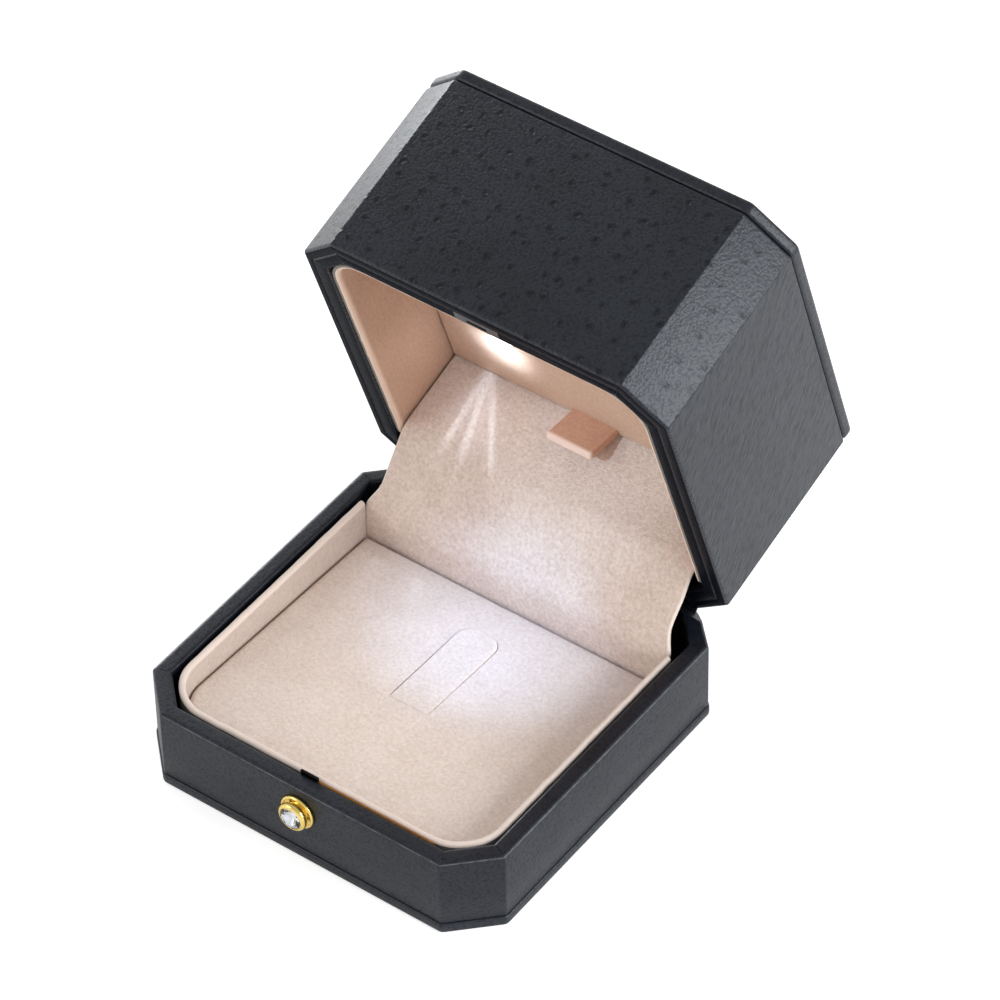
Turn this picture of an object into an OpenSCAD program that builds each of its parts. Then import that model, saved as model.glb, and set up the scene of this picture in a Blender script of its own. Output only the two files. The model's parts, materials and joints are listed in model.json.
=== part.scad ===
// Ring display box: shallow eight-sided base, deep hinged lid with a light in its ceiling.
// Origin at the centre of the underside, +Z up, +Y to the hinge. The lid stands open at rest.

/* [Box] */
// Width over the side walls
box_w = 70; // [62:1:90]
// Depth over the front and back walls
box_d = 70; // [66:1:90]
// Size of the cut-off corners
corner_cut = 7.3; // [6:0.1:10]
// Thickness of the leather skin
leather_t = 0.5; // [0.4:0.05:0.6]
// Roundness of the outer edges
edge_r = 0.7; // [0.55:0.05:0.9]

/* [Base] */
// Height from the table to the rim
base_h = 15.9; // [15:0.1:20]
// Thickness of the bottom plate
plate_t = 2; // [1.8:0.1:2.4]
// How far the bottom and top plates stand out past the walls
plate_lip = 0.25; // [0:0.05:0.6]
// Thickness of the base wall with its leather
base_wall = 3; // [2.8:0.1:3.3]

/* [Lid] */
// Height of the lid walls
lid_h = 35.1; // [33:0.1:45]
// Thickness of the top plate
top_t = 2.3; // [2:0.1:3]
// Thickness of the lid wall with its leather
lid_wall = 4.4; // [4.2:0.1:4.8]
// Thickness of the board across the top of the lid walls
lid_roof_t = 2; // [1.5:0.1:3]
// Gap between the rims when the lid is shut
closing_gap = 0.2; // [0.15:0.05:0.4]
// Angle from shut to open
open_angle = 72; // [66:1:76]

/* [Hinge] */
// Hinge pin in from the back face
pin_inset = 1.6; // [1.55:0.05:1.8]
// Hinge pin below the base rim
pin_drop = 0.95; // [0.9:0.05:1.1]
// Radius of the hinge pin
pin_r = 0.45; // [0.4:0.05:0.5]
// Radius of the hinge knuckles
barrel_r = 0.9; // [0.85:0.05:0.95]
// Width of the hinge
hinge_w = 30; // [26:1:36]
// Thickness of the hinge leaves
leaf_t = 0.6; // [0.4:0.1:0.8]
// Height of each hinge leaf
leaf_h = 7; // [6:0.5:9]

/* [Velvet tray] */
// Gap between the base wall and the collar
collar_gap = 0.7; // [0.6:0.1:0.9]
// Thickness of the lining card
card_t = 0.5; // [0.4:0.1:0.6]
// Thickness of the velvet
velvet_t = 0.6; // [0.5:0.1:0.7]
// Collar top below the rim
collar_drop = 0.3; // [0.25:0.05:0.6]
// Height of the pad at its front edge
pad_front_z = 11.3; // [10.6:0.1:12]
// Height of the pad at its back edge
pad_back_z = 8.3; // [8.2:0.1:9]
// Thickness of the card under the pad velvet
pad_card_t = 1; // [0.8:0.1:1.2]
// Width of the ring tongue
tongue_w = 7.6; // [6:0.1:10]
// Length of the ring tongue
tongue_l = 21; // [16:0.5:24]
// Crease of the ring tongue behind the centre line of the box, negative towards the front
tongue_y = -6.4; // [-9:0.1:-4]
// Width of the cut round the tongue
slit = 0.3; // [0.25:0.05:0.5]

/* [Back flap] */
// Gap between the flap and the lid's lining at each side
flap_side = 0.3; // [0.3:0.1:3]
// Thickness of the flap
flap_t = 1; // [0.8:0.1:1.2]
// Flap in from the back of the box, down in the base
flap_inset = 12.6; // [12.2:0.1:13]
// Flap in from the back of the lid
flap_lid_inset = 13.2; // [12.8:0.1:13.6]
// Height of the flap's lower bend below the base rim
flap_bend_drop = 1.5; // [1:0.1:2.5]
// Height of the flap's upper bend above the lid rim
flap_bend_rise = 1; // [0.5:0.1:2]
// Radius of the flap's bends
flap_r = 6; // [4:0.5:6.5]

/* [Lid lining and light] */
// Lining edge above the lid rim
lining_drop = 0.4; // [0.3:0.1:0.8]
// Ceiling panel above the lid rim
ceiling_rise = 15.9; // [15:0.1:18]
// Light in from the left side of the box
light_inset = 18.6; // [18:0.1:20]
// Light behind the centre of the box
light_y = 7.9; // [4:0.1:8]
// Radius of the light's dome
light_r = 2.5; // [2:0.1:2.6]
// Radius of the coin cell
cell_r = 10; // [9:0.1:10.2]
// Thickness of the coin cell
cell_t = 3.2; // [2:0.1:3.4]
// Width of the pull tab
tab_w = 9; // [6:0.1:12]
// Length of the pull tab
tab_l = 8; // [5:0.1:10]
// Thickness of the pull tab
tab_t = 1.5; // [1.2:0.1:1.8]

/* [Button] */
// Height of the button's centre above the table
button_z = 10.8; // [10:0.1:11]
// Radius of the fixed ring round the button
ring_r = 3.35; // [3.1:0.05:3.6]
// Radius of the button's bezel
bezel_r = 2.8; // [2.6:0.05:3]
// Radius of the button's stem
stem_r = 1.88; // [1.6:0.01:1.9]
// Radial running gap round the stem
stem_play = 0.07; // [0.04:0.01:0.09]
// How far the button can be pressed
button_travel = 0.8; // [0.5:0.1:0.9]
// Radius of the crystal
crystal_r = 2.15; // [1.8:0.05:2.2]
// Thickness of the catch leaf
catch_t = 0.35; // [0.3:0.05:0.4]

/* [Hidden] */
$fn = 48;
eps = 0.01;

black = "#26282b";
card_grey = "#6f6a64";
blush = "#d9bfae";
peach = "#c9a486";
steel = "#b4b7ba";
gold = "#d9b23c";

// Lid, shut: rim plane, top of the walls and top of the box
lid_z = base_h + closing_gap;
lid_top_z = lid_z + lid_h;
box_top_z = lid_top_z + top_t;

// Hinge axis and the two bevels whose faces fold together when the lid is open
pin_y = box_d / 2 - pin_inset;
pin_z = base_h - pin_drop;
bevel_angle = open_angle / 2;
bevel_reach = 10;
fold_gap = 0.9;
notch_gap = 0.15;
notch_side = 0.4;
pin_play = 0.05;
spring_w = 4;
knuckle_gap = 0.2;
knuckle_w = (hinge_w - spring_w) / 4 - knuckle_gap;
spring_wire = 0.18;
spring_turns = 8;
coil_play = 0.09;
leg_gap = 0.05;
rivet_r = 0.7;
rivet_x = hinge_w / 2 - 4;
rivet_bite = 1.6;
head_r = 1.3;
head_h = 0.5;
rivet_rise = barrel_r - leaf_t + leaf_h / 2;
strip_t = 0.35;
strip_gap = 0.15;

// A cut corner's size after an inset, and the corner radius that just touches it
function inner_cut(inset) = corner_cut - inset * (2 - sqrt(2));
function corner_radius(inset) = inner_cut(inset) / (2 - sqrt(2));

// Velvet collar, seen from above
collar_r = corner_radius(base_wall + collar_gap);
collar_w = box_w - 2 * (base_wall + collar_gap);
collar_front = -(box_d / 2 - base_wall - collar_gap);
collar_back = box_d / 2 - flap_inset - 0.1;
collar_top = base_h - collar_drop;
collar_t = card_t + velvet_t;

// Pad, tilted a little down towards the back
fit = 0.2;
pad_w = collar_w - 2 * (collar_t + fit);
pad_front = collar_front + collar_t + fit;
pad_back = box_d / 2 - flap_inset - 0.4;
pad_tilt = atan((pad_front_z - pad_back_z) / (pad_back - pad_front));
pad_t = pad_card_t + velvet_t;
pad_len = (pad_back - pad_front) / cos(pad_tilt);
foam_inset = 0.6;
well_margin = 0.6;
tongue_r = 2.8;
tongue_local_y = (tongue_y - pad_back) / cos(pad_tilt);

// Back flap
flap_y = box_d / 2 - flap_inset;
flap_lid_y = box_d / 2 - flap_lid_inset;
flap_foot = plate_t + 0.4;
flap_foot_w = box_w - 2 * (base_wall + 1.3);
flap_taper = 4;
bend_steps = 8;

// Lid lining and ceiling
lining_gap = 0.1;
lining_w = box_w - 2 * (lid_wall + lining_gap);
lining_front = -(box_d / 2 - lid_wall - lining_gap);
lining_back = flap_lid_y + flap_t + 1.5;
lining_t = card_t + velvet_t;
lining_r = corner_radius(lid_wall + lining_gap);
ceiling_z = lid_z + ceiling_rise;
ceiling_card_t = 1;
ceiling_t = ceiling_card_t + velvet_t;
ceiling_play = 0.3;
ceiling_w = lining_w - 2 * (lining_t + ceiling_play);
flap_w = lining_w - 2 * (lining_t + flap_side);
ceiling_front = lining_front + lining_t + ceiling_play;
ceiling_back = flap_lid_y - 0.3;
roof_z = lid_top_z - lid_roof_t;
spacer_w = 3.5;
tab_splay = 18;
foot_r = 0.4;
edge_steps = 3;
turn_in = 6;

// Light module on the back of the ceiling panel: the light and its board left, the cell right
case_wall = 1.2;
case_z = ceiling_z + ceiling_t;
case_h = 8;
case_side = 3.1;
cell_room = 1.2;
switch_room = 10.7;
light_x = light_inset - box_w / 2;
case_left = spacer_w + case_side - ceiling_w / 2;
case_right = light_x + light_r + switch_room + 2 * cell_r + case_wall;
case_back = ceiling_back - 1;
case_front = case_back - 2 * (cell_r + case_wall + 2.6);
cell_x = case_right - case_wall - cell_r - cell_room;
cell_y = (case_front + case_back) / 2;
case_floor = case_z + case_wall;
case_top = case_z + case_h;
board_t = 1;
flange_t = 1;
flange_lip = 0.4;
board_z = case_floor + flange_t + 0.6;
board_gap = 0.3;
boss_r = 1;
board_left = case_left + case_wall + board_gap;
board_right = cell_x - cell_r - board_gap;
board_front = case_front + case_wall + board_gap;
board_back = case_back - case_wall - board_gap;
board_ends = [board_front + boss_r, board_back - boss_r];
light_play = 0.05;
lead_r = 0.25;
lead_pitch = 2.54;
clip_t = 0.3;
clip_w = 7;
switch_r = 1.6;
switch_l = 5;

// Button and catch
front_y = -box_d / 2;
ring_t = 0.7;
bezel_t = 0.55;
bezel_z = ring_t + button_travel + 0.1;
crystal_seat = 0.4;
sleeve_r = stem_r + stem_play + 0.45;
catch_y = front_y + base_wall + 0.05;
stem_end = 0.25 - base_wall;
catch_right = box_w / 2 - corner_cut - 3.5;
catch_foot = button_z - stem_r;
catch_drop = 0.2;
catch_bite = 1.2;
catch_rivet_h = 0.2;
nose_w = 3.4;
hook = 0.15;
hook_lift = 0.05;
keeper_t = 0.15;
keeper_z = lid_z;
keeper_w = nose_w + 5;
keeper_hold = 0.8;
keeper_rim = 0.25;
nose_top = keeper_z + keeper_t + hook_lift + hook;
slot_play = 0.2;
slot_room = 0.35;
slot_front = catch_y - slot_play / 2;
slot_back = catch_y + catch_t + slot_play;
window_w = nose_w + 4;

// ---- shared shapes ----

module octagon(inset) {
    x = box_w / 2 - inset;
    y = box_d / 2 - inset;
    c = inner_cut(inset);
    polygon([
        [-x, y - c], [-x, c - y], [c - x, -y], [x - c, -y],
        [x, c - y], [x, y - c], [x - c, y], [c - x, y]
    ]);
}

function quarter(x, z, r, from) = [
    for (i = [0 : edge_steps])
        let (t = from + 90 * i / edge_steps) [x + r * cos(t), z + r * sin(t)]
];

// Side view of a slab whose long edges are rounded at the top and at the bottom, in flats
module soft_profile(w, h, top_r, bottom_r) {
    polygon(concat(
        quarter(w / 2 - bottom_r, bottom_r, bottom_r, -90),
        quarter(w / 2 - top_r, h - top_r, top_r, 0),
        quarter(top_r - w / 2, h - top_r, top_r, 90),
        quarter(bottom_r - w / 2, bottom_r, bottom_r, 180)
    ));
}

module rounded_bar(turn, w, h, top_r, bottom_r) {
    rotate([90, 0, turn]) linear_extrude(box_w + box_d, center = true)
        soft_profile(w, h, top_r, bottom_r);
}

// Eight-sided block with rounded edges: the common part of four rounded bars
module soft_octagon(inset, z0, z1, top_r, bottom_r) {
    across = sqrt(2) * (box_w / 2 + box_d / 2 - corner_cut) - 2 * inset;
    translate([0, 0, z0]) intersection() {
        rounded_bar(0, box_w - 2 * inset, z1 - z0, top_r, bottom_r);
        rounded_bar(45, across, z1 - z0, top_r, bottom_r);
        rounded_bar(90, box_d - 2 * inset, z1 - z0, top_r, bottom_r);
        rounded_bar(135, across, z1 - z0, top_r, bottom_r);
    }
}

// U of three walls, open at the back, with rounded front corners
module u_outline(w, front, back, r) {
    translate([-w / 2, front + r]) square([w, back - front - r]);
    translate([-w / 2 + r, front]) square([w - 2 * r, r + eps]);
    for (s = [-1, 1])
        translate([s * (w / 2 - r), front + r]) circle(r);
}

module u_wall(w, front, back, r, t) {
    difference() {
        u_outline(w, front, back, r);
        u_outline(w - 2 * t, front + t, back + 1, r - t);
    }
}

// Moves a shape modelled with the lid shut to the open lid
module open_lid() {
    translate([0, pin_y, pin_z]) rotate([-open_angle, 0, 0]) translate([0, -pin_y, -pin_z])
        children();
}

// What a slope takes off the back wall under the pin, and off the lid's back wall over it
module base_bevel(skin) {
    translate([0, pin_y, pin_z]) rotate([-bevel_angle, 0, 0])
        translate([-box_w, -bevel_reach, -fold_gap / 2 - skin])
            cube([2 * box_w, 2 * bevel_reach, bevel_reach]);
}

module lid_bevel(skin) {
    translate([0, pin_y, pin_z]) rotate([bevel_angle, 0, 0])
        translate([-box_w, -bevel_reach, fold_gap / 2 + skin - bevel_reach])
            cube([2 * box_w, 2 * bevel_reach, bevel_reach]);
}

// Room for the hinge knuckles and their arms in the back wall of the base
module hinge_notch() {
    w = hinge_w + 2 * notch_side;
    r = barrel_r + notch_gap;
    translate([-w / 2, pin_y, pin_z]) rotate([0, 90, 0]) cylinder(r = r, h = w);
    translate([-w / 2, box_d / 2 - base_wall - 1, pin_z - r])
        cube([w, 1 + base_wall - pin_inset, r + pin_drop + 1]);
}

module base_shell(skin, z0) {
    difference() {
        soft_octagon(skin, z0, base_h - skin, edge_r, foot_r);
        translate([0, 0, z0 - 1]) linear_extrude(base_h) octagon(base_wall - skin);
        base_bevel(skin);
        hinge_notch();
        button_hole();
        rivet_shafts(pin_z - rivet_rise, box_d / 2 - base_wall - leaf_t, leaf_t + rivet_bite);
        catch_rivet_shafts(catch_y - catch_bite, 2 * catch_bite);
    }
}

module lid_shell(skin, z1) {
    difference() {
        soft_octagon(skin, lid_z + skin, z1, foot_r, edge_r);
        translate([0, 0, lid_z - 1]) linear_extrude(roof_z - lid_z + 1 + skin) octagon(lid_wall - skin);
        lid_bevel(skin);
        rivet_shafts(pin_z + rivet_rise, box_d / 2 - lid_wall - leaf_t, leaf_t + rivet_bite);
    }
}

module button_hole() {
    translate([0, front_y - 1, button_z]) rotate([-90, 0, 0])
        cylinder(r = sleeve_r, h = base_wall + 2);
}

// Hollow wrapped round a board: over one face and the edges, and turned in on the other face
module wrapped_plate(z0, z1, open_top) {
    difference() {
        soft_octagon(-plate_lip, z0, z1, edge_r, edge_r);
        plate_core(z0, z1);
        translate([0, 0, open_top ? z1 - leather_t - eps : z0 - eps])
            linear_extrude(leather_t + 2 * eps) octagon(turn_in);
    }
}

module plate_core(z0, z1) {
    translate([0, 0, z0 + leather_t])
        linear_extrude(z1 - z0 - 2 * leather_t) octagon(leather_t - plate_lip);
}

// ---- base ----

module base_frame() {
    color(card_grey) base_shell(leather_t, plate_t);
}

module base_cover() {
    color(black) difference() {
        base_shell(0, plate_t);
        base_shell(leather_t, plate_t - 1);
    }
}

module bottom_board() {
    color(card_grey) plate_core(0, plate_t);
}

module bottom_cover() {
    color(black) wrapped_plate(0, plate_t, true);
}

module collar_card() {
    color(card_grey) difference() {
        translate([0, 0, plate_t]) linear_extrude(collar_top - velvet_t - plate_t)
            u_wall(collar_w, collar_front, collar_back, collar_r, card_t);
        translate([-window_w / 2, collar_front - 1, button_z - sleeve_r])
            cube([window_w, card_t + 1, base_h]);
    }
}

module collar_velvet() {
    color(blush) {
        translate([0, 0, plate_t]) linear_extrude(collar_top - plate_t)
            u_wall(collar_w - 2 * card_t, collar_front + card_t, collar_back, collar_r - card_t, velvet_t);
        translate([0, 0, collar_top - velvet_t]) linear_extrude(velvet_t)
            u_wall(collar_w, collar_front, collar_back, collar_r, card_t + eps);
    }
}

// Moves a shape from flat, its top face at zero and its back edge on the X axis, to the pad's place
module on_pad() {
    translate([0, pad_back, pad_back_z]) rotate([-pad_tilt, 0, 0]) children();
}

module tongue_outline(gap) {
    w = tongue_w + 2 * gap;
    y0 = tongue_local_y - gap;
    y1 = tongue_local_y + tongue_l + gap;
    r = tongue_r + gap;
    translate([-w / 2, y0]) square([w, y1 - y0 - r]);
    translate([r - w / 2, y0]) square([w - 2 * r, y1 - y0]);
    for (s = [-1, 1])
        translate([s * (w / 2 - r), y1 - r]) circle(r);
}

module pad_layer(top, t) {
    color(blush) on_pad() translate([0, 0, -top - t]) linear_extrude(t) difference() {
        u_outline(pad_w, -pad_len, 0, collar_r - collar_t);
        tongue_outline(slit);
    }
}

module pad_velvet() {
    pad_layer(0, velvet_t);
}

module pad_card() {
    color(card_grey) pad_layer(velvet_t, pad_card_t);
}

module tongue_velvet() {
    color(blush) on_pad() translate([0, 0, -velvet_t]) linear_extrude(velvet_t) tongue_outline(0);
}

module tongue_card() {
    color(card_grey) on_pad() translate([0, 0, -pad_t]) linear_extrude(pad_card_t) tongue_outline(0);
}

module pad_foam() {
    w = pad_w - 2 * foam_inset;
    color("#e8e4dc") difference() {
        translate([0, 0, plate_t]) linear_extrude(base_h)
            u_outline(w, pad_front + foam_inset, pad_back - foam_inset, collar_r - collar_t);
        on_pad() translate([-box_w, -box_d - pad_len, -pad_t]) cube([2 * box_w, 2 * box_d + pad_len, base_h]);
        translate([-tongue_w / 2 - well_margin, tongue_y - slit, plate_t - 1])
            cube([tongue_w + 2 * well_margin, tongue_l + 2 * well_margin, base_h]);
    }
}

// ---- hinge ----

// Lid leaf with the pin at height zero; the base leaf is its mirror image
module leaf(wall_y, first_knuckle) {
    difference() {
        union() {
            translate([-hinge_w / 2, wall_y - leaf_t, barrel_r - leaf_t]) cube([hinge_w, leaf_t, leaf_h]);
            for (s = [-1, 1])
                translate([s * (first_knuckle + knuckle_w / 2) - knuckle_w / 2, 0, 0]) {
                    translate([0, wall_y - leaf_t, barrel_r - leaf_t])
                        cube([knuckle_w, pin_y - wall_y + leaf_t, leaf_t]);
                    translate([0, pin_y, 0]) rotate([0, 90, 0]) cylinder(r = barrel_r, h = knuckle_w);
                }
        }
        translate([-hinge_w, pin_y, 0]) rotate([0, 90, 0]) cylinder(r = pin_r + pin_play, h = 2 * hinge_w);
        rivet_shafts(rivet_rise, wall_y - leaf_t, leaf_t + 1);
    }
}

module hinge_base_leaf() {
    color(steel) translate([0, 0, pin_z]) mirror([0, 0, 1])
        leaf(box_d / 2 - base_wall, spring_w / 2 + knuckle_w + 2 * knuckle_gap);
}

module hinge_lid_leaf() {
    color(steel) open_lid() translate([0, 0, pin_z])
        leaf(box_d / 2 - lid_wall, spring_w / 2 + knuckle_gap);
}

module hinge_pin() {
    color(steel) translate([-hinge_w / 2, pin_y, pin_z]) rotate([0, 90, 0]) cylinder(r = pin_r, h = hinge_w);
}

// Close turns round the pin, and a leg on each leaf
module hinge_spring() {
    coil_r = pin_r + coil_play + spring_wire;
    pitch = (spring_w - 2 * spring_wire) / (spring_turns - 1);
    color(steel) translate([0, pin_y, pin_z]) {
        for (i = [0 : spring_turns - 1])
            translate([spring_wire - spring_w / 2 + i * pitch, 0, 0]) rotate([0, 90, 0])
                rotate_extrude() translate([coil_r, 0]) circle(spring_wire, $fn = 16);
        translate([spring_wire - spring_w / 2, 0, -coil_r]) spring_leg(base_wall - pin_inset - leg_gap);
        rotate([-open_angle, 0, 0]) translate([spring_w / 2 - spring_wire, 0, coil_r])
            spring_leg(lid_wall - pin_inset - leg_gap);
    }
}

module spring_leg(l) {
    rotate([90, 0, 0]) cylinder(r = spring_wire * 0.8, h = l, $fn = 16);
}

module rivet_shafts(z, y, l) {
    for (s = [-1, 1])
        translate([s * rivet_x, y, z]) rotate([-90, 0, 0]) cylinder(r = rivet_r, h = l);
}

// Domed rivets through a leaf into the wall
module rivets(z, y) {
    dome_r = (head_r * head_r + head_h * head_h) / (2 * head_h);
    rivet_shafts(z, y, leaf_t + rivet_bite);
    for (s = [-1, 1])
        translate([s * rivet_x, y, z]) rotate([90, 0, 0]) intersection() {
            translate([0, 0, head_h - dome_r]) sphere(dome_r);
            cylinder(r = head_r, h = head_h);
        }
}

module hinge_base_rivets() {
    color(steel) rivets(pin_z - rivet_rise, box_d / 2 - base_wall - leaf_t);
}

module hinge_lid_rivets() {
    color(steel) open_lid() rivets(pin_z + rivet_rise, box_d / 2 - lid_wall - leaf_t);
}

// Leather gutter behind the barrel, folded between the two bevels
module spine_strip() {
    r = barrel_r + strip_gap;
    half = asin(fold_gap / 2 / (r + strip_t)) - 3;
    color(black) translate([0, pin_y, pin_z]) rotate([-bevel_angle, 0, 0])
        across(box_w - 2 * corner_cut + 0.4) difference() {
            circle(r + strip_t);
            circle(r);
            translate([-2 * r, -2 * r]) square([2 * r, 4 * r]);
            rotate(half) square(4 * r);
            rotate(-half) mirror([0, 1]) square(4 * r);
        }
}

// Side view, drawn in Y and Z, made w wide
module across(w) {
    translate([-w / 2, 0, 0]) rotate([90, 0, 90]) linear_extrude(w) children();
}

// ---- button and catch ----

module on_front() {
    translate([0, front_y, button_z]) rotate([90, 0, 0]) children();
}

module button_ring() {
    edge = 0.2;
    color(gold) on_front() difference() {
        rotate_extrude() polygon([
            [0, -base_wall], [sleeve_r, -base_wall], [sleeve_r, 0], [ring_r, 0],
            [ring_r, ring_t - edge], [ring_r - edge, ring_t], [0, ring_t]
        ]);
        translate([0, 0, -base_wall - 1]) cylinder(r = stem_r + stem_play, h = base_wall + ring_t + 2);
    }
}

module button_cap() {
    edge = 0.15;
    front = bezel_z + bezel_t;
    color(gold) on_front() difference() {
        rotate_extrude() polygon([
            [0, stem_end], [stem_r, stem_end], [stem_r, bezel_z], [bezel_r - edge, bezel_z],
            [bezel_r, bezel_z + edge], [bezel_r, front - edge], [bezel_r - edge, front], [0, front]
        ]);
        translate([0, 0, front - crystal_seat]) cylinder(r = crystal_r, h = bezel_t);
    }
}

// Twelve-sided stone: girdle and sloping crown with a flat table
module crystal() {
    color("#eef3f6") on_front() translate([0, 0, bezel_z + bezel_t - crystal_seat]) {
        cylinder(r = crystal_r, h = crystal_seat + 0.1, $fn = 12);
        translate([0, 0, crystal_seat + 0.1])
            cylinder(r1 = crystal_r, r2 = crystal_r * 0.6, h = 0.6, $fn = 12);
    }
}

// Springy brass leaf along the front gap, riveted at the right, hooked nose behind the button
module catch_leaf() {
    color(gold) difference() {
        translate([-nose_w / 2, catch_y, catch_foot]) {
            cube([catch_right + nose_w / 2, catch_t, base_h - catch_drop - catch_foot]);
            cube([nose_w, catch_t, nose_top - catch_foot]);
            translate([0, -hook, nose_top - hook - catch_foot]) cube([nose_w, hook + catch_t, hook]);
        }
        catch_rivet_shafts(catch_y - eps, catch_t + 2 * eps);
    }
}

module catch_rivet_shafts(y, l) {
    for (s = [-1, 1])
        translate([catch_right - 2, y, button_z + 1 + 2 * s]) rotate([-90, 0, 0])
            cylinder(r = rivet_r / 2, h = l);
}

module catch_rivets() {
    color(gold) {
        catch_rivet_shafts(catch_y - catch_bite, catch_bite + catch_t);
        translate([0, catch_y + catch_t, 0]) for (s = [-1, 1])
            translate([catch_right - 2, 0, button_z + 1 + 2 * s]) rotate([-90, 0, 0])
                cylinder(r = rivet_r, h = catch_rivet_h);
    }
}

// Black steel plate let into the leather of the lid's front lip, with a slot the nose snaps into
module catch_keeper() {
    color(black) open_lid() difference() {
        keeper_blank();
        nose_slot(slot_front);
    }
}

module keeper_blank() {
    translate([-keeper_w / 2, slot_front - keeper_hold, keeper_z])
        cube([keeper_w, slot_back - slot_front + keeper_hold + keeper_rim, keeper_t]);
}

// Way in for the nose, up through the lip from below it
module nose_slot(front) {
    w = nose_w + 2 * slot_play;
    translate([-w / 2, front, lid_z - 1]) cube([w, slot_back - front, nose_top + slot_room - lid_z + 1]);
}

// ---- lid ----

module lid_frame() {
    color(card_grey) open_lid() difference() {
        lid_shell(leather_t, lid_top_z);
        nose_slot(catch_y - hook - slot_play);
    }
}

module lid_cover() {
    color(black) open_lid() difference() {
        lid_shell(0, lid_top_z);
        lid_shell(leather_t, lid_top_z + 1);
        keeper_blank();
        nose_slot(catch_y - hook - slot_play);
    }
}

module top_board() {
    color(card_grey) open_lid() plate_core(lid_top_z, box_top_z);
}

module top_cover() {
    color(black) open_lid() wrapped_plate(lid_top_z, box_top_z, false);
}

module lining_layer(inset, t) {
    open_lid() translate([0, 0, lid_z + lining_drop]) linear_extrude(roof_z - lid_z - lining_drop)
        u_wall(lining_w - 2 * inset, lining_front + inset, lining_back, lining_r - inset, t);
}

module lining_card() {
    color(card_grey) lining_layer(0, card_t);
}

module lining_velvet() {
    color(peach) lining_layer(card_t, velvet_t);
}

module spacer_blocks() {
    top = ceiling_z + ceiling_t + ceiling_play;
    color(card_grey) open_lid() for (s = [-1, 1])
        translate([s * (ceiling_w / 2 - spacer_w / 2) - spacer_w / 2, ceiling_front + lining_r, top])
            cube([spacer_w, ceiling_back - ceiling_front - 2 * lining_r, roof_z - top]);
}

// Rounded corner at b of a path from a to c that turns clockwise, as points on an arc
function turn_points(a, b, c, r) =
    let (u = (a - b) / norm(a - b), v = (c - b) / norm(c - b))
    let (half = acos(u * v) / 2, inward = (u + v) / norm(u + v))
    let (mid = b + inward * r / sin(half), middle = atan2(-inward[1], -inward[0]))
    [for (i = [0 : bend_steps])
        let (t = middle + (90 - half) * (1 - 2 * i / bend_steps)) mid + r * [cos(t), sin(t)]];

// A point of the shut lid, in Y and Z, moved to the open lid
function lid_point(y, z) =
    let (a = y - pin_y, b = z - pin_z)
    [pin_y + cos(open_angle) * a + sin(open_angle) * b, pin_z - sin(open_angle) * a + cos(open_angle) * b];

// Face of the flap, t behind its front face, from its foot in the base to its head under the roof
function flap_face(t) =
    let (mitre = t * tan(open_angle / 4), foot = [flap_y + t, flap_foot])
    let (low = [flap_y + t, base_h - flap_bend_drop - mitre])
    let (high = lid_point(flap_lid_y + t, lid_z + flap_bend_rise + mitre))
    let (head = lid_point(flap_lid_y + t, roof_z))
    concat(
        [foot], turn_points(foot, low, high, flap_r - t),
        turn_points(low, high, head, flap_r - t), [head]
    );

function reversed(list) = [for (i = [len(list) - 1 : -1 : 0]) list[i]];

module back_flap() {
    color(blush) intersection() {
        across(flap_foot_w) polygon(concat(flap_face(0), reversed(flap_face(flap_t))));
        rotate([90, 0, 0]) linear_extrude(3 * box_d, center = true) flap_front_view();
    }
}

// Outline of the flap in X and Z: wide between the collar's ends, narrower in the lid
module flap_front_view() {
    z = base_h - flap_bend_drop;
    polygon([
        [-flap_foot_w / 2, 0], [flap_foot_w / 2, 0],
        [flap_foot_w / 2, z], [flap_w / 2, z + flap_taper],
        [flap_w / 2, 3 * box_w], [-flap_w / 2, 3 * box_w],
        [-flap_w / 2, z + flap_taper], [-flap_foot_w / 2, z]
    ]);
}

// ---- ceiling panel and light ----

module ceiling_layer(z, t) {
    open_lid() translate([0, 0, z]) linear_extrude(t) difference() {
        u_outline(ceiling_w, ceiling_front, ceiling_back, lining_r - lining_t - ceiling_play);
        translate([light_x, light_y]) circle(light_r + 0.2);
    }
}

module ceiling_velvet() {
    color(peach) ceiling_layer(ceiling_z, velvet_t);
}

module ceiling_card() {
    color(card_grey) ceiling_layer(ceiling_z + velvet_t, ceiling_card_t);
}

module pull_tab() {
    color(peach) open_lid() difference() {
        translate([0, ceiling_back - fit, ceiling_z]) rotate([-tab_splay, 0, 0])
            translate([-tab_w / 2, -tab_t, -tab_l]) cube([tab_w, tab_t, tab_l + tab_t]);
        translate([-tab_w, ceiling_back - 2 * tab_l, ceiling_z]) cube([2 * tab_w, 3 * tab_l, tab_l]);
    }
}

module case_outline(inset) {
    translate([case_left + inset, case_front + inset])
        square([case_right - case_left - 2 * inset, case_back - case_front - 2 * inset]);
}

module light_case() {
    color("#e9e9e6") open_lid() difference() {
        union() {
            difference() {
                translate([0, 0, case_z]) linear_extrude(case_h) case_outline(0);
                translate([0, 0, case_floor]) linear_extrude(case_h) case_outline(case_wall);
            }
            for (y = board_ends)
                translate([board_left + boss_r, y, case_floor])
                    cylinder(r = boss_r, h = board_z - case_floor);
        }
        translate([light_x, light_y, case_z - 1]) cylinder(r = light_r + light_play, h = case_wall + 2);
    }
}

module light_case_cover() {
    color("#e9e9e6") open_lid() {
        translate([0, 0, case_top]) linear_extrude(case_wall) case_outline(0);
        translate([0, 0, case_top - case_wall]) linear_extrude(case_wall) difference() {
            case_outline(case_wall + 0.1);
            case_outline(2 * case_wall);
        }
    }
}

module circuit_board() {
    color("#2f6b45") open_lid() difference() {
        translate([board_left, board_front, board_z])
            cube([board_right - board_left, board_back - board_front, board_t]);
        light_leads(light_play);
    }
}

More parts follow.
